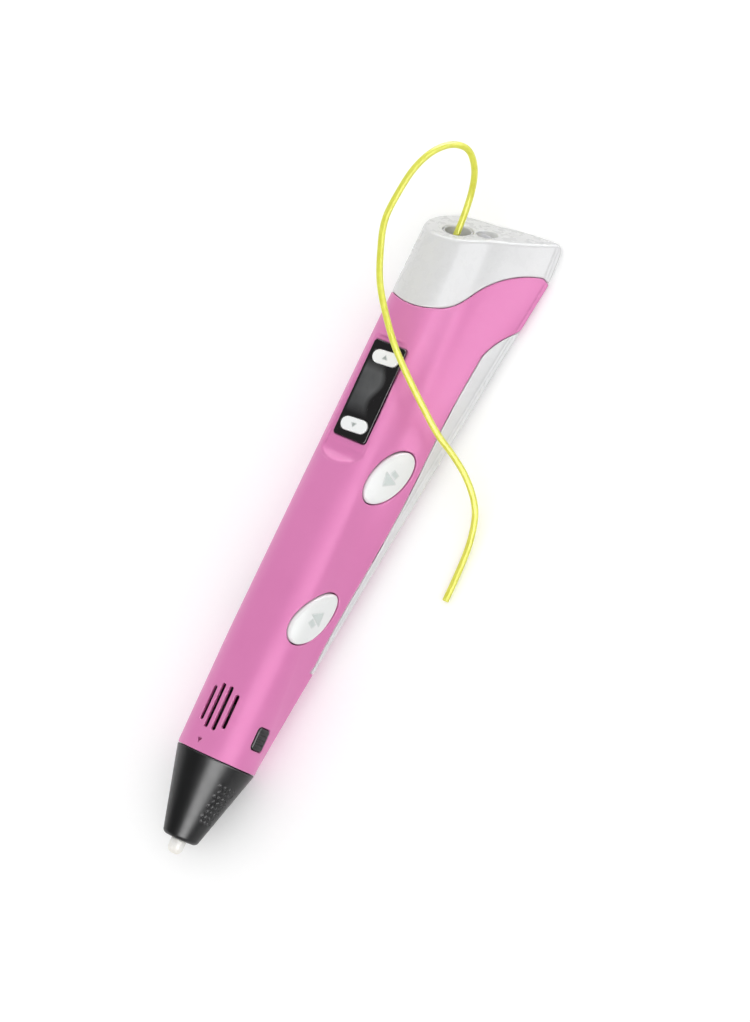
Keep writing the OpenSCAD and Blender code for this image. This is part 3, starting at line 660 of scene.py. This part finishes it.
class Mat:
    """A small helper that wires a procedural material."""

    def __init__(self, name):
        self.m = bpy.data.materials.new(name)
        self.m.use_nodes = True
        self.t = self.m.node_tree
        self.b = self.t.nodes["Principled BSDF"]
        self.tc = self.t.nodes.new("ShaderNodeTexCoord")
        self.co = self.tc.outputs["Object"]

    def n(self, kind, **kw):
        nd = self.t.nodes.new("ShaderNode" + kind)
        for k, v in kw.items():
            if k in nd.inputs:
                nd.inputs[k].default_value = v
            else:
                setattr(nd, k, v)
        return nd

    def link(self, a, b):
        self.t.links.new(a, b)

    def noise(self, scale, detail=3.0, rough=0.5, stretch=None):
        nd = self.n("TexNoise")
        nd.inputs["Scale"].default_value = scale
        nd.inputs["Detail"].default_value = detail
        nd.inputs["Roughness"].default_value = rough
        if stretch:
            mp = self.n("Mapping")
            mp.inputs["Scale"].default_value = stretch
            self.link(self.co, mp.inputs["Vector"])
            self.link(mp.outputs["Vector"], nd.inputs["Vector"])
        else:
            self.link(self.co, nd.inputs["Vector"])
        return nd.outputs["Fac"]

    def attr(self, name):
        nd = self.n("Attribute")
        nd.attribute_name = name
        return nd.outputs["Fac"]

    def remap(self, val, a, b, c, d):
        nd = self.n("MapRange")
        nd.inputs["From Min"].default_value = a
        nd.inputs["From Max"].default_value = b
        nd.inputs["To Min"].default_value = c
        nd.inputs["To Max"].default_value = d
        self.link(val, nd.inputs["Value"])
        return nd.outputs["Result"]

    def math(self, op, a, b):
        nd = self.n("Math")
        nd.operation = op
        for i, v in enumerate((a, b)):
            if isinstance(v, (int, float)):
                nd.inputs[i].default_value = v
            else:
                self.link(v, nd.inputs[i])
        return nd.outputs[0]

    def mix(self, fac, a, b):
        nd = self.n("Mix")
        nd.data_type = "RGBA"
        for key, v in ((0, fac), (6, a), (7, b)):
            if isinstance(v, (int, float)):
                nd.inputs[key].default_value = v
            elif isinstance(v, tuple):
                nd.inputs[key].default_value = v
            else:
                self.link(v, nd.inputs[key])
        return nd.outputs[2]

    def bump(self, height, strength, distance, prev=None):
        nd = self.n("Bump")
        nd.inputs["Strength"].default_value = strength
        nd.inputs["Distance"].default_value = distance
        self.link(height, nd.inputs["Height"])
        if prev is not None:
            self.link(prev, nd.inputs["Normal"])
        return nd.outputs["Normal"]

    def set(self, **kw):
        for k, v in kw.items():
            key = k.replace("_", " ")
            sock = self.b.inputs[key]
            if isinstance(v, (int, float, tuple)):
                sock.default_value = v
            else:
                self.link(v, sock)
        return self


def plastic(name, base, dark, light, rough, grain=0.05, coat=0.0, metal=0.0, edge_highlight=0.35, sheen=0.0, mark=None, sss=0.0, spec=0.18):
    """Moulded plastic: slow colour drift, fine mould grain, a painted highlight on rounded edges and painted shade in
    creases.
    """
    m = Mat(name)
    big = m.noise(35, 4, 0.55)
    fine = m.noise(2600, 2, 0.6)
    mid = m.noise(420, 3, 0.6)
    col = m.mix(m.remap(big, 0.3, 0.7, 0, 1), dark, base)
    # painted highlight: rounded edges are mixed towards the lighter colour
    col = m.mix(m.math("MULTIPLY", m.attr("edge"), m.remap(mid, 0.4, 0.7, 0.05, edge_highlight)), col, light)
    # painted shade: creases are darkened towards a deep copy of the dark colour
    col = m.mix(m.math("MULTIPLY", m.attr("crease"), 0.35), col, tuple(c * 0.55 for c in dark[:3]) + (1,))
    if mark is not None:
        col = m.mix(m.attr("mark"), col, mark)
    r = m.remap(mid, 0.3, 0.75, rough - 0.04, rough + 0.05)
    r = m.math("ADD", r, m.math("MULTIPLY", m.attr("edge"), 0.05))
    nrm = m.bump(fine, grain, 0.00006)
    nrm = m.bump(m.noise(60, 2, 0.4), 0.03, 0.0006, nrm)
    m.set(Base_Color=col, Roughness=r, Normal=nrm, Metallic=metal, Coat_Weight=coat, Coat_Roughness=0.12, Sheen_Weight=sheen)
    m.b.inputs["Specular IOR Level"].default_value = spec
    if sss:
        m.b.inputs["Subsurface Weight"].default_value = sss
        m.b.inputs["Subsurface Radius"].default_value = (0.0012, 0.0009, 0.0008)
    return m.m


PINK = srgb(219, 130, 182)
M_PINK = plastic("pink_shell", PINK, srgb(213, 123, 176), srgb(240, 178, 212), 0.34, grain=0.10, coat=0.03, edge_highlight=0.30, mark=srgb(120, 40, 84))
M_PEARL = plastic("pearl_shell", srgb(219, 219, 220), srgb(214, 215, 216), srgb(242, 242, 242), 0.28, grain=0.06, coat=0.05, edge_highlight=0.2)
M_OVAL = plastic("pearl_key", srgb(236, 237, 237), srgb(230, 232, 231), srgb(250, 250, 250), 0.30, grain=0.06, coat=0.05, edge_highlight=0.2, mark=srgb(205, 212, 210))
M_KEY = plastic("white_key", srgb(244, 245, 245), srgb(238, 240, 240), srgb(252, 252, 252), 0.30, grain=0.05, edge_highlight=0.2, mark=srgb(160, 168, 166))
M_BLACK = plastic("black_cover", srgb(15, 15, 16), srgb(11, 11, 12), srgb(56, 56, 58), 0.34, grain=0.12, edge_highlight=0.5, spec=0.35)
M_GREY = plastic("grey_plastic", srgb(196, 196, 200), srgb(186, 186, 190), srgb(224, 224, 226), 0.40, grain=0.10)


def glass_mat():
    """Black polished window with a painted grey reflection on its top, over the display."""
    m = Mat("display_glass")
    big = m.noise(120, 3, 0.5)
    smudge = m.noise(260, 4, 0.65, stretch=(1, 2.2, 1))
    painted_reflection = m.attr("mark")
    grey = m.mix(m.remap(big, 0.35, 0.65, 0, 1), srgb(78, 79, 80), srgb(98, 99, 100))
    # painted reflection: grey mixed into the black of the window top
    col = m.mix(painted_reflection, srgb(12, 10, 12), grey)
    m.set(Base_Color=col, Roughness=m.remap(smudge, 0.35, 0.8, 0.06, 0.20), Coat_Weight=0.5, Coat_Roughness=0.04)
    m.set(Normal=m.bump(m.noise(90, 2, 0.4), 0.04, 0.0003))
    return m.m


M_GLASS = glass_mat()


def ceramic_mat():
    m = Mat("ceramic")
    speck = m.noise(900, 4, 0.7)
    col = m.mix(m.remap(speck, 0.35, 0.7, 0, 1), srgb(238, 236, 231), srgb(247, 246, 243))
    x0 = (OX + 1.2) / 1000
    sx = m.n("SeparateXYZ")
    m.link(m.co, sx.inputs[0])
    heat = m.remap(sx.outputs["X"], x0 - 0.0012, x0 + 0.0006, 1, 0)
    col = m.mix(m.math("MULTIPLY", heat, 0.25), col, srgb(196, 176, 140))
    m.set(Base_Color=col, Roughness=m.remap(speck, 0.3, 0.7, 0.42, 0.55), Normal=m.bump(m.noise(3500, 2, 0.5), 0.12, 0.00005))
    m.b.inputs["Subsurface Weight"].default_value = 0.15
    m.b.inputs["Subsurface Radius"].default_value = (0.001, 0.0009, 0.0008)
    return m.m


M_CERAMIC = ceramic_mat()


def filament_mat():
    m = Mat("filament")
    n1 = m.noise(500, 3, 0.5)
    col = m.mix(m.remap(n1, 0.3, 0.7, 0, 1), srgb(218, 218, 74), srgb(228, 230, 96))
    m.set(Base_Color=col, Roughness=0.28, Normal=m.bump(m.noise(1500, 2, 0.5), 0.05, 0.00005))
    m.b.inputs["Subsurface Weight"].default_value = 0.35
    m.b.inputs["Subsurface Radius"].default_value = (0.0012, 0.0012, 0.0003)
    return m.m


M_FIL = filament_mat()


def metal_mat(name, col_a, col_b, rough, brushed=(1, 30, 30), bump=0.05):
    """Turned or drawn metal: fine marks run along one axis, and roughness drifts."""
    m = Mat(name)
    n1 = m.noise(420, 4, 0.6, stretch=brushed)
    n2 = m.noise(90, 3, 0.5)
    m.set(Base_Color=m.mix(n2, col_a, col_b), Metallic=1.0, Roughness=m.remap(n1, 0.3, 0.7, rough - 0.08, rough + 0.1),
          Normal=m.bump(n1, bump, 0.00006))
    return m.m


def matte_mat(name, col_a, col_b, rough, scale=900, bump=0.15, sss=0.0):
    m = Mat(name)
    n1 = m.noise(scale, 4, 0.6)
    n2 = m.noise(70, 3, 0.5)
    m.set(Base_Color=m.mix(m.remap(n2, 0.3, 0.7, 0, 1), col_a, col_b), Roughness=m.remap(n1, 0.3, 0.7, rough - 0.06, rough + 0.06),
          Normal=m.bump(n1, bump, 0.00008))
    if sss:
        m.b.inputs["Subsurface Weight"].default_value = sss
        m.b.inputs["Subsurface Radius"].default_value = (0.001, 0.001, 0.001)
    return m.m


def board_mat():
    """Solder mask with copper runs showing through."""
    m = Mat("circuit_board")
    vor = m.n("TexVoronoi")
    vor.feature = "DISTANCE_TO_EDGE"
    vor.inputs["Scale"].default_value = 480
    m.link(m.co, vor.inputs["Vector"])
    runs = m.remap(vor.outputs["Distance"], 0.03, 0.07, 1, 0)
    col = m.mix(runs, srgb(22, 92, 48), srgb(38, 122, 66))
    m.set(Base_Color=col, Roughness=0.38, Coat_Weight=0.4, Normal=m.bump(runs, 0.25, 0.00003))
    return m.m


def braid_mat():
    """Woven glass sleeve: two crossed waves."""
    m = Mat("glass_fibre")
    w1, w2 = m.n("TexWave"), m.n("TexWave")
    for w, rot in ((w1, 0.8), (w2, -0.8)):
        mp = m.n("Mapping")
        mp.inputs["Rotation"].default_value = (0, 0, rot)
        m.link(m.co, mp.inputs["Vector"])
        m.link(mp.outputs["Vector"], w.inputs["Vector"])
        w.inputs["Scale"].default_value = 620
        w.inputs["Distortion"].default_value = 0.6
    weave = m.math("MULTIPLY", w1.outputs["Fac"], w2.outputs["Fac"])
    m.set(Base_Color=m.mix(weave, srgb(178, 170, 148), srgb(226, 220, 202)), Roughness=0.8, Normal=m.bump(weave, 0.6, 0.00012))
    return m.m


def wire_mat(name, a, b):
    m = Mat(name)
    n1 = m.noise(700, 3, 0.5)
    m.set(Base_Color=m.mix(n1, a, b), Roughness=m.remap(n1, 0.3, 0.7, 0.42, 0.55), Normal=m.bump(m.noise(2500, 2, 0.5), 0.1, 0.00005))
    return m.m


M_STEEL = metal_mat("bare_steel", srgb(176, 178, 182), srgb(196, 198, 202), 0.30)
M_SPRING = metal_mat("spring_steel", srgb(168, 170, 174), srgb(188, 190, 194), 0.26)
M_BRASS = metal_mat("brass", srgb(206, 168, 96), srgb(222, 186, 112), 0.28)
M_CHIP = matte_mat("chip", srgb(26, 26, 27), srgb(36, 36, 38), 0.55)
M_FRAME = matte_mat("dark_frame", srgb(34, 34, 37), srgb(44, 44, 48), 0.5)
M_PTFE = matte_mat("ptfe", srgb(232, 232, 228), srgb(242, 242, 240), 0.45, sss=0.3)
M_IVORY = matte_mat("ivory_plastic", srgb(226, 218, 198), srgb(236, 230, 212), 0.48, sss=0.2)
M_PHENOL = matte_mat("phenolic", srgb(122, 78, 46), srgb(142, 94, 58), 0.55, scale=300, bump=0.3)
M_OLED = matte_mat("oled", srgb(20, 24, 40), srgb(30, 36, 56), 0.25)
M_BOARD = board_mat()
M_BRAID = braid_mat()
M_RED = wire_mat("red_wire", srgb(178, 34, 30), srgb(198, 46, 40))
M_BLACKW = wire_mat("black_wire", srgb(28, 28, 30), srgb(40, 40, 42))

BY_SLOT = {"pink_shell": M_PINK, "pearl_shell": M_PEARL, "black_cover": M_BLACK, "spring_steel": M_SPRING, "display_glass": M_GLASS,
           "oled": M_OLED, "white_key": M_KEY, "pearl_key": M_OVAL, "circuit_board": M_BOARD, "bare_steel": M_STEEL, "chip": M_CHIP,
           "grey_plastic": M_GREY, "ptfe": M_PTFE, "brass": M_BRASS, "ivory_plastic": M_IVORY, "dark_frame": M_FRAME,
           "phenolic": M_PHENOL, "ceramic": M_CERAMIC, "glass_fibre": M_BRAID, "filament": M_FIL, "red_wire": M_RED, "black_wire": M_BLACKW}
for sp in RECORD["subparts"]:
    ob = NODES[sp["node"]]
    ob.data.materials.clear()
    ob.data.materials.append(BY_SLOT[sp["material_slot"]])
    for poly in ob.data.polygons:
        poly.material_index = 0


# ------------------------------------------------------------------ the visible pieces
def window_reflection_mark(P):
    """A painted grey reflection on the window's top, between the keys: strongest on the ridge side, fading to the keel
    side.
    """
    lx, ly, lz = local(P[:, 0], P[:, 1], P[:, 2], 128.5, DISP)
    a = np.clip((ly + 2.4 + 0.9 * np.sin(lx * 0.55)) / 1.6, 0, 1)
    b = np.clip((7.6 - np.abs(lx - 0.6)) / 3.0, 0, 1)
    c = np.clip((4.5 - ly) / 0.5, 0, 1)
    top = np.clip((lz - (H_GLASS - 0.12)) / 0.1, 0, 1)
    return a * b * c * top * (0.55 + 0.45 * np.clip((lx + 7) / 12, 0, 1))


def oval_mark(o, sign):
    def g(P):
        u, v, w = oval_uv(o, P[:, 0], P[:, 1], P[:, 2])
        a = sign * u
        s = np.minimum(tri(a, v, 2.8, -0.25, 2.15), np.maximum(np.abs(a + 1.5) - 0.68, np.abs(v) - 0.95))
        return np.clip(0.5 - s / 0.25, 0, 1) * (w > -1)
    return g


def key_mark(kx, ky, sign):
    def g(P):
        lx, ly, lz = local(P[:, 0], P[:, 1], P[:, 2], 0, DISP)
        u, v = key_uv(lx - kx, ly - ky)
        return np.clip(0.5 - tri(sign * u, v, 0.62, -0.48, 0.72) / 0.2, 0, 1) * (lz > H_GLASS)
    return g


H = 0.30
piece("upper_shell_skin", f_upper, (25.6, -28.5, -12), (176.5, 12, 12), H, M_PINK, "pen", ["upper_shell"], arrow_mark)
piece("belly_skin", f_belly, (55, -27.5, -7), (165, -11, 8), 0.28, M_PEARL, "pen", ["belly_shell"])
piece("rear_cap_skin", f_cap, (151, -28.5, -11.5), (186, 11, 10.5), 0.28, M_PEARL, "pen", ["rear_cap"])
piece("nose_cover_skin", f_nose, (3.2, -11.5, -11.5), (39.5, 11.5, 11.5), 0.22, M_BLACK, "cover", ["nose_cover"])
piece("latch_tab_skin", f_latch, (31, -11.5, 0), (40, 0, 11), 0.14, M_BLACK, "latch", ["latch_tab"])
piece("display_glass_skin", f_glass, (114.5, -2.5, 2), (142.5, 9.5, 10), 0.16, M_GLASS, "pen", ["display_window"], window_reflection_mark)
piece("temp_up_skin", make_key(137.9, -0.3, 1), (135, -3, 1), (141, 9, 10), 0.12, M_KEY, "temp_up_key", ["temp_up_button"], key_mark(137.9, -0.3, 1))
piece("temp_down_skin", make_key(118.9, 0.0, -1), (116, -3, 1), (122, 9, 10), 0.12, M_KEY, "temp_down_key", ["temp_down_button"], key_mark(118.9, 0.0, -1))
piece("feed_skin", make_oval(OVAL_F, -1), (100, -18, -1), (120.5, -3.5, 10), 0.2, M_OVAL, "feed_key", ["feed_button"], oval_mark(OVAL_F, -1))
piece("retract_skin", make_oval(OVAL_B, 1), (59, -16, 1), (79.8, -1, 12), 0.2, M_OVAL, "retract_key", ["retract_button"], oval_mark(OVAL_B, 1))
piece("inlet_guide_skin", f_inlet, (156, -4.3, -4.3), (180.5, 4.3, 4.3), 0.2, M_GREY, "pen", ["inlet_guide"])
piece("dc_jack_skin", f_jack, (166, -10.8, -3.8), (179, -3.8, 3), 0.16, M_GREY, "pen", ["dc_jack"])
piece("ceramic_nozzle_skin", f_nozzle, (-0.5, -2.5, -2.5), (24.5, 2.5, 2.5), 0.14, M_CERAMIC, "pen", ["ceramic_nozzle"])
piece("speed_knob_skin", f_knob, (66, 2, -13), (72, 12, -2.5), 0.13, M_BLACK, "speed_key", ["speed_knob"])


# ------------------------------------------------------------------ curves: filament and wires
def catmull(pts, per=14):
    p = np.array(pts, float)
    p = np.concatenate([[2 * p[0] - p[1]], p, [2 * p[-1] - p[-2]]])
    out = []
    t = np.linspace(0, 1, per, endpoint=False)[:, None]
    for i in range(1, len(p) - 2):
        a, b, c, d = p[i - 1], p[i], p[i + 1], p[i + 2]
        # centripetal spacing keeps the strand free of kinks
        t0, t1 = 0.0, np.linalg.norm(b - a) ** 0.5
        t2 = t1 + np.linalg.norm(c - b) ** 0.5
        t3 = t2 + np.linalg.norm(d - c) ** 0.5
        tt = t1 + (t2 - t1) * t
        A1 = (t1 - tt) / (t1 - t0) * a + (tt - t0) / (t1 - t0) * b
        A2 = (t2 - tt) / (t2 - t1) * b + (tt - t1) / (t2 - t1) * c
        A3 = (t3 - tt) / (t3 - t2) * c + (tt - t2) / (t3 - t2) * d
        B1 = (t2 - tt) / (t2 - t0) * A1 + (tt - t0) / (t2 - t0) * A2
        B2 = (t3 - tt) / (t3 - t1) * A2 + (tt - t1) / (t3 - t1) * A3
        out.append((t2 - tt) / (t2 - t1) * B1 + (tt - t1) / (t2 - t1) * B2)
    out.append(p[-2][None])
    return np.concatenate(out)


def smooth_line(p, times):
    p = p.copy()
    for _ in range(times):
        p[1:-1] = 0.25 * p[:-2] + 0.5 * p[1:-1] + 0.25 * p[2:]
    return p


def tube_mesh(path, r, seg=20, cap=0.25):
    """A round rod along a path, with softly rounded ends, as quads."""
    p = np.array(path, float)
    tg = np.gradient(p, axis=0)
    tg /= np.linalg.norm(tg, axis=1)[:, None]
    up = np.array([0.0, 0.0, 1.0]) if abs(tg[0][2]) < 0.9 else np.array([0.0, 1.0, 0.0])
    nrm = []
    n0 = up - tg[0] * (up @ tg[0])
    n0 /= np.linalg.norm(n0)
    for t in tg:
        n0 = n0 - t * (n0 @ t)
        n0 /= np.linalg.norm(n0)
        nrm.append(n0)
    nrm = np.array(nrm)
    bi = np.cross(tg, nrm)
    V, idx = [], []
    a = np.linspace(0, 2 * math.pi, seg, endpoint=False)
    cs, sn = np.cos(a)[:, None], np.sin(a)[:, None]

    def ring(c, n, b, rr):
        V.append(c + rr * (cs * n + sn * b))
    for k in (0.0, 0.5, 1.0):
        s = math.sin(k * math.pi / 2)
        c = math.cos(k * math.pi / 2)
        ring(p[0] - tg[0] * cap * c, nrm[0], bi[0], r - cap + cap * s)
    for i in range(1, len(p) - 1):
        ring(p[i], nrm[i], bi[i], r)
    for k in (1.0, 0.5, 0.0):
        s = math.sin(k * math.pi / 2)
        c = math.cos(k * math.pi / 2)
        ring(p[-1] + tg[-1] * cap * c, nrm[-1], bi[-1], r - cap + cap * s)
    m = len(V)
    V = np.concatenate(V + [(p[0] - tg[0] * cap)[None], (p[-1] + tg[-1] * cap)[None]])
    Q = []
    for i in range(m - 1):
        for j in range(seg):
            Q.append((i * seg + j, i * seg + (j + 1) % seg, (i + 1) * seg + (j + 1) % seg, (i + 1) * seg + j))
    T = [(m * seg, (j + 1) % seg, j) for j in range(seg)] + [(m * seg + 1, (m - 1) * seg + j, (m - 1) * seg + (j + 1) % seg) for j in range(seg)]
    return V, Q, T


def tube(name, path, r, mat, body, nodes=(), seg=20):
    V, Q, T = [], [], []
    paths = path if isinstance(path, list) else [path]
    for p in paths:
        v, q, t = tube_mesh(p, r, seg, min(0.25, r * 0.4))
        o = sum(len(x) for x in V)
        V.append(v)
        Q += [tuple(i + o for i in f) for f in q]
        T += [tuple(i + o for i in f) for f in t]
    me = bpy.data.meshes.new(name)
    me.from_pydata([tuple(c) for c in to_row(np.concatenate(V))], [], Q + T)
    me.validate()
    me.shade_smooth()
    ob = bpy.data.objects.new(name, me)
    bpy.context.scene.collection.objects.link(ob)
    me.materials.append(mat)
    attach(ob, body)
    if nodes:
        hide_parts(*nodes)
    return ob


# the strand: down the feed path, out of the inlet, round behind the tail, over the barrel and down beside the keel
LOOP = [(155.6, 0, 0), (160, 0, 0), (165, 0, 0), (170, 0.0, 0.0), (176, 0.05, 0.2), (182, 0.4, 1.4), (187.4, 1.2, 4.0), (192.0, 2.9, 7.5),
        (195.1, 6.2, 10.7), (194.4, 10.2, 13.1), (190.6, 14.0, 14.8), (184.6, 16.6, 15.8), (177.0, 17.75, 16.2), (169.1, 18.0, 16.3),
        (161.4, 15.7, 16.2), (153.7, 12.3, 15.9), (146.0, 6.7, 15.2), (140.8, 2.1, 14.4), (135.7, -3.6, 13.2), (130.6, -10.0, 11.6),
        (125.4, -17.0, 9.3), (122.3, -22.9, 6.9), (118.3, -28.8, 4.3), (112.2, -34.0, 1.9), (104.2, -36.2, 0.5), (96.0, -36.7, -0.1), (88.0, -36.7, -0.25)]
loop = smooth_line(catmull(LOOP, 10), 6)
strand = np.concatenate([np.stack([np.linspace(30, 155, 60), np.zeros(60), np.zeros(60)], 1), loop])
tube("filament_strand", strand, 0.875, M_FIL, "strand", ["filament"], 24)


def wires(name, node, sets, r, mat):
    tube(name, [smooth_line(catmull(s, 8), 3) for s in sets], r, mat, "pen", [node], 12)


wires("power_wire_pair", "power_wires", [[(165.95, -6.4 - s * 1.2, -1.6), (164.0, -3.6 - s * 0.6, -4.4 - s * 0.9), (162.5, 0, -5.0 - s * 1.2),
      (156, 3.4 + s * 0.9, -3.4 - s * 0.9), (147.2, 4.2 + s * 1.1, 0.4 - s * 0.6), (145, 3.9 + s * 1.0, 1.9 - s * 0.6)] for s in (0, 1)], 0.38, M_RED)
wires("heater_wire_pair", "heater_wires", [[(20.5, -2.2, s * 0.6 - 0.6), (28, -3.4, -3.6 + s * 0.5), (45, -2.7, -4.7 + s * 0.5), (52, -2.7, -4.7 + s * 0.5),
      (75, -2.25, -4.95 + s * 0.5), (98, -1.8, -5.2 + s * 0.5), (104 - s * 0.35, 3.6 + s * 0.35, -4.4 + s * 0.5), (106.5 - s * 0.3, 5.6 + s * 0.5, 0.4)] for s in (-1, 1)], 0.36, M_RED)
MY, MZ = -7.05, -1.7
wires("motor_wire_pair", "motor_wires", [[(162.25, MY + s * 3.2, MZ), (163.1, MY + s * 2.4, MZ + 0.9), (163.1, -3.2 + s * 0.6, 2.6), (160, -1.6 + s * 0.5, 3.4),
      (147.6, 0.2 + s * 0.5, 3.4)] for s in (-1, 1)], 0.34, M_BLACKW)

# small machined edges on the mechanical CAD pieces that a lifted cover or a vent lets one see
for nm in ("motor_pinion", "feed_gear", "fan_frame", "fan_rotor", "latch_spring", "controller_chip", "oled_module", "speed_potentiometer",
           "feed_frame", "main_board", "button_board", "tact_switches", "motor_end_cap", "gearbox_housing", "motor_can", "hot_end_bulkhead",
           "ceramic_heater", "insulation_sleeve", "heat_break_tube", "ptfe_tube", "frame_screws", "board_screws", "feed_bushings", "rear_guide_tube", "gearbox_shaft"):
    ob = NODES[nm]
    bv = ob.modifiers.new("edge", "BEVEL")
    bv.width = 0.00006
    bv.segments = 2
    bv.limit_method = "ANGLE"
    bv.angle_limit = math.radians(35)
    bv.harden_normals = True

# ------------------------------------------------------------------ floor, light and camera
def stage():
    me = bpy.data.meshes.new("floor")
    s = 3.0
    me.from_pydata([(-s, -s, 0), (s, -s, 0), (s, s, 0), (-s, s, 0)], [], [(0, 1, 2, 3)])
    fl = bpy.data.objects.new("floor", me)
    bpy.context.scene.collection.objects.link(fl)
    m = Mat("floor")
    col = m.mix(m.noise(3, 3, 0.5), srgb(250, 250, 250), srgb(253, 253, 253))
    m.set(Base_Color=col, Roughness=0.9, Normal=m.bump(m.noise(800, 2, 0.5), 0.02, 0.0001))
    m.b.inputs["Specular IOR Level"].default_value = 0.1
    m.b.inputs["Emission Color"].default_value = (1, 1, 1, 1)
    m.b.inputs["Emission Strength"].default_value = 0.09
    me.materials.append(m.m)


stage()
scene = bpy.context.scene
scene.view_settings.view_transform = "Standard"
scene.view_settings.look = "None"
scene.view_settings.exposure = 0
scene.view_settings.gamma = 1
world = bpy.data.worlds.new("studio")
scene.world = world
world.use_nodes = True


def studio(w):
    """Soft light all round; mirror-like rays see a darker room with a long softbox over the pen and a low one behind it."""
    t = w.node_tree
    t.nodes.clear()

    def nd(kind, **kw):
        n = t.nodes.new("ShaderNode" + kind)
        for k, v in kw.items():
            setattr(n, k, v)
        return n

    def mth(op, a, b=None, c=None):
        n = nd("Math", operation=op)
        for i, v in enumerate((a, b, c)):
            if v is None:
                continue
            if isinstance(v, (int, float)):
                n.inputs[i].default_value = v
            else:
                t.links.new(v, n.inputs[i])
        return n.outputs[0]

    def dot(v, d):
        n = nd("VectorMath", operation="DOT_PRODUCT")
        t.links.new(v, n.inputs[0])
        n.inputs[1].default_value = d
        return n.outputs["Value"]

    def smooth(v, a, b):
        n = nd("MapRange", interpolation_type="SMOOTHSTEP")
        n.inputs["From Min"].default_value = a
        n.inputs["From Max"].default_value = b
        t.links.new(v, n.inputs["Value"])
        return n.outputs["Result"]
    co = nd("TexCoord").outputs["Generated"]
    dx = dot(co, (1, 0, 0))
    dy = dot(co, tuple(turn([[0, 1, 0]])[0]))
    dz = dot(co, tuple(turn([[0, 0, 1]])[0]))
    up = dot(co, (0, 0, 1))
    psi = mth("MULTIPLY", mth("ARCTAN2", dy, dz), 57.29578)
    centre = mth("ADD", mth("MULTIPLY", mth("MAXIMUM", mth("MULTIPLY", dx, -1.0), 0.0), BOX_SHIFT), BOX_C)
    skew = smooth(dx, 0.05, 0.14)
    centre = mth("SUBTRACT", centre, mth("MULTIPLY", skew, 18.0))
    off = mth("ADD", mth("ABSOLUTE", mth("SUBTRACT", psi, centre)), mth("MULTIPLY", skew, 9.0))
    box = mth("MULTIPLY", smooth(off, BOX_W + 8, BOX_W - 8), mth("MULTIPLY", smooth(dx, 0.5, 0.28), smooth(dx, -0.85, -0.65)))
    back = mth("MULTIPLY", smooth(dx, 0.70, 0.88), smooth(up, -0.12, 0.03))
    room = mth("ADD", mth("ADD", mth("MULTIPLY", box, BOX_L), mth("MULTIPLY", back, BACK_L)), ROOM_L)
    soft = mth("ADD", mth("MULTIPLY", mth("MAXIMUM", up, 0.0), SOFT_B), SOFT_A)
    lp = nd("LightPath")
    mix = mth("ADD", mth("MULTIPLY", soft, mth("SUBTRACT", 1.0, lp.outputs["Is Glossy Ray"])), mth("MULTIPLY", room, lp.outputs["Is Glossy Ray"]))
    cam_l = mth("ADD", mth("MULTIPLY", mix, mth("SUBTRACT", 1.0, lp.outputs["Is Camera Ray"])), mth("MULTIPLY", lp.outputs["Is Camera Ray"], 0.95))
    bg = nd("Background")
    bg.inputs["Color"].default_value = (1, 1, 1, 1)
    t.links.new(cam_l, bg.inputs["Strength"])
    t.links.new(bg.outputs[0], nd("OutputWorld").inputs["Surface"])


BOX_C, BOX_W, BOX_SHIFT, BOX_L, BACK_L, ROOM_L, SOFT_A, SOFT_B = -30.0, 22.0, 40.0, 13.0, 17.0, 0.24, 0.73, 0.42
studio(world)
world.cycles.sampling_method = "NONE"


def pen_point(x, y, z):
    return Vector(to_row([[x, y, z]])[0])


# the camera looks square onto the button side, as the object is usually shown
look = pen_point(101.4, -10.6, 0)
DIST = 1.046
back = Vector(turn([[0, 0, 1]])[0])
lean = math.radians(3.0)
back = (back * math.cos(lean) + Vector((-1, 0, 0)) * math.sin(lean)).normalized()
cam_d = bpy.data.cameras.new("camera")
cam = bpy.data.objects.new("camera", cam_d)
scene.collection.objects.link(cam)
cam_d.lens = 143.0
cam_d.sensor_width = 36
cam_d.sensor_fit = "AUTO"
cam_d.clip_start, cam_d.clip_end = 0.01, 20
cam.location = look + back * DIST
# the pen's +x runs up and to the right of the picture
px = Vector((1, 0, 0))
px = (px - back * px.dot(back)).normalized()
py = back.cross(px)
ex, ey = 0.41635, 0.90920
right = (px * ex + py * -ey).normalized()
upv = back.cross(right)
from mathutils import Matrix
cam.matrix_world = Matrix(((right.x, upv.x, back.x, cam.location.x), (right.y, upv.y, back.y, cam.location.y), (right.z, upv.z, back.z, cam.location.z), (0, 0, 0, 1)))
scene.camera = cam
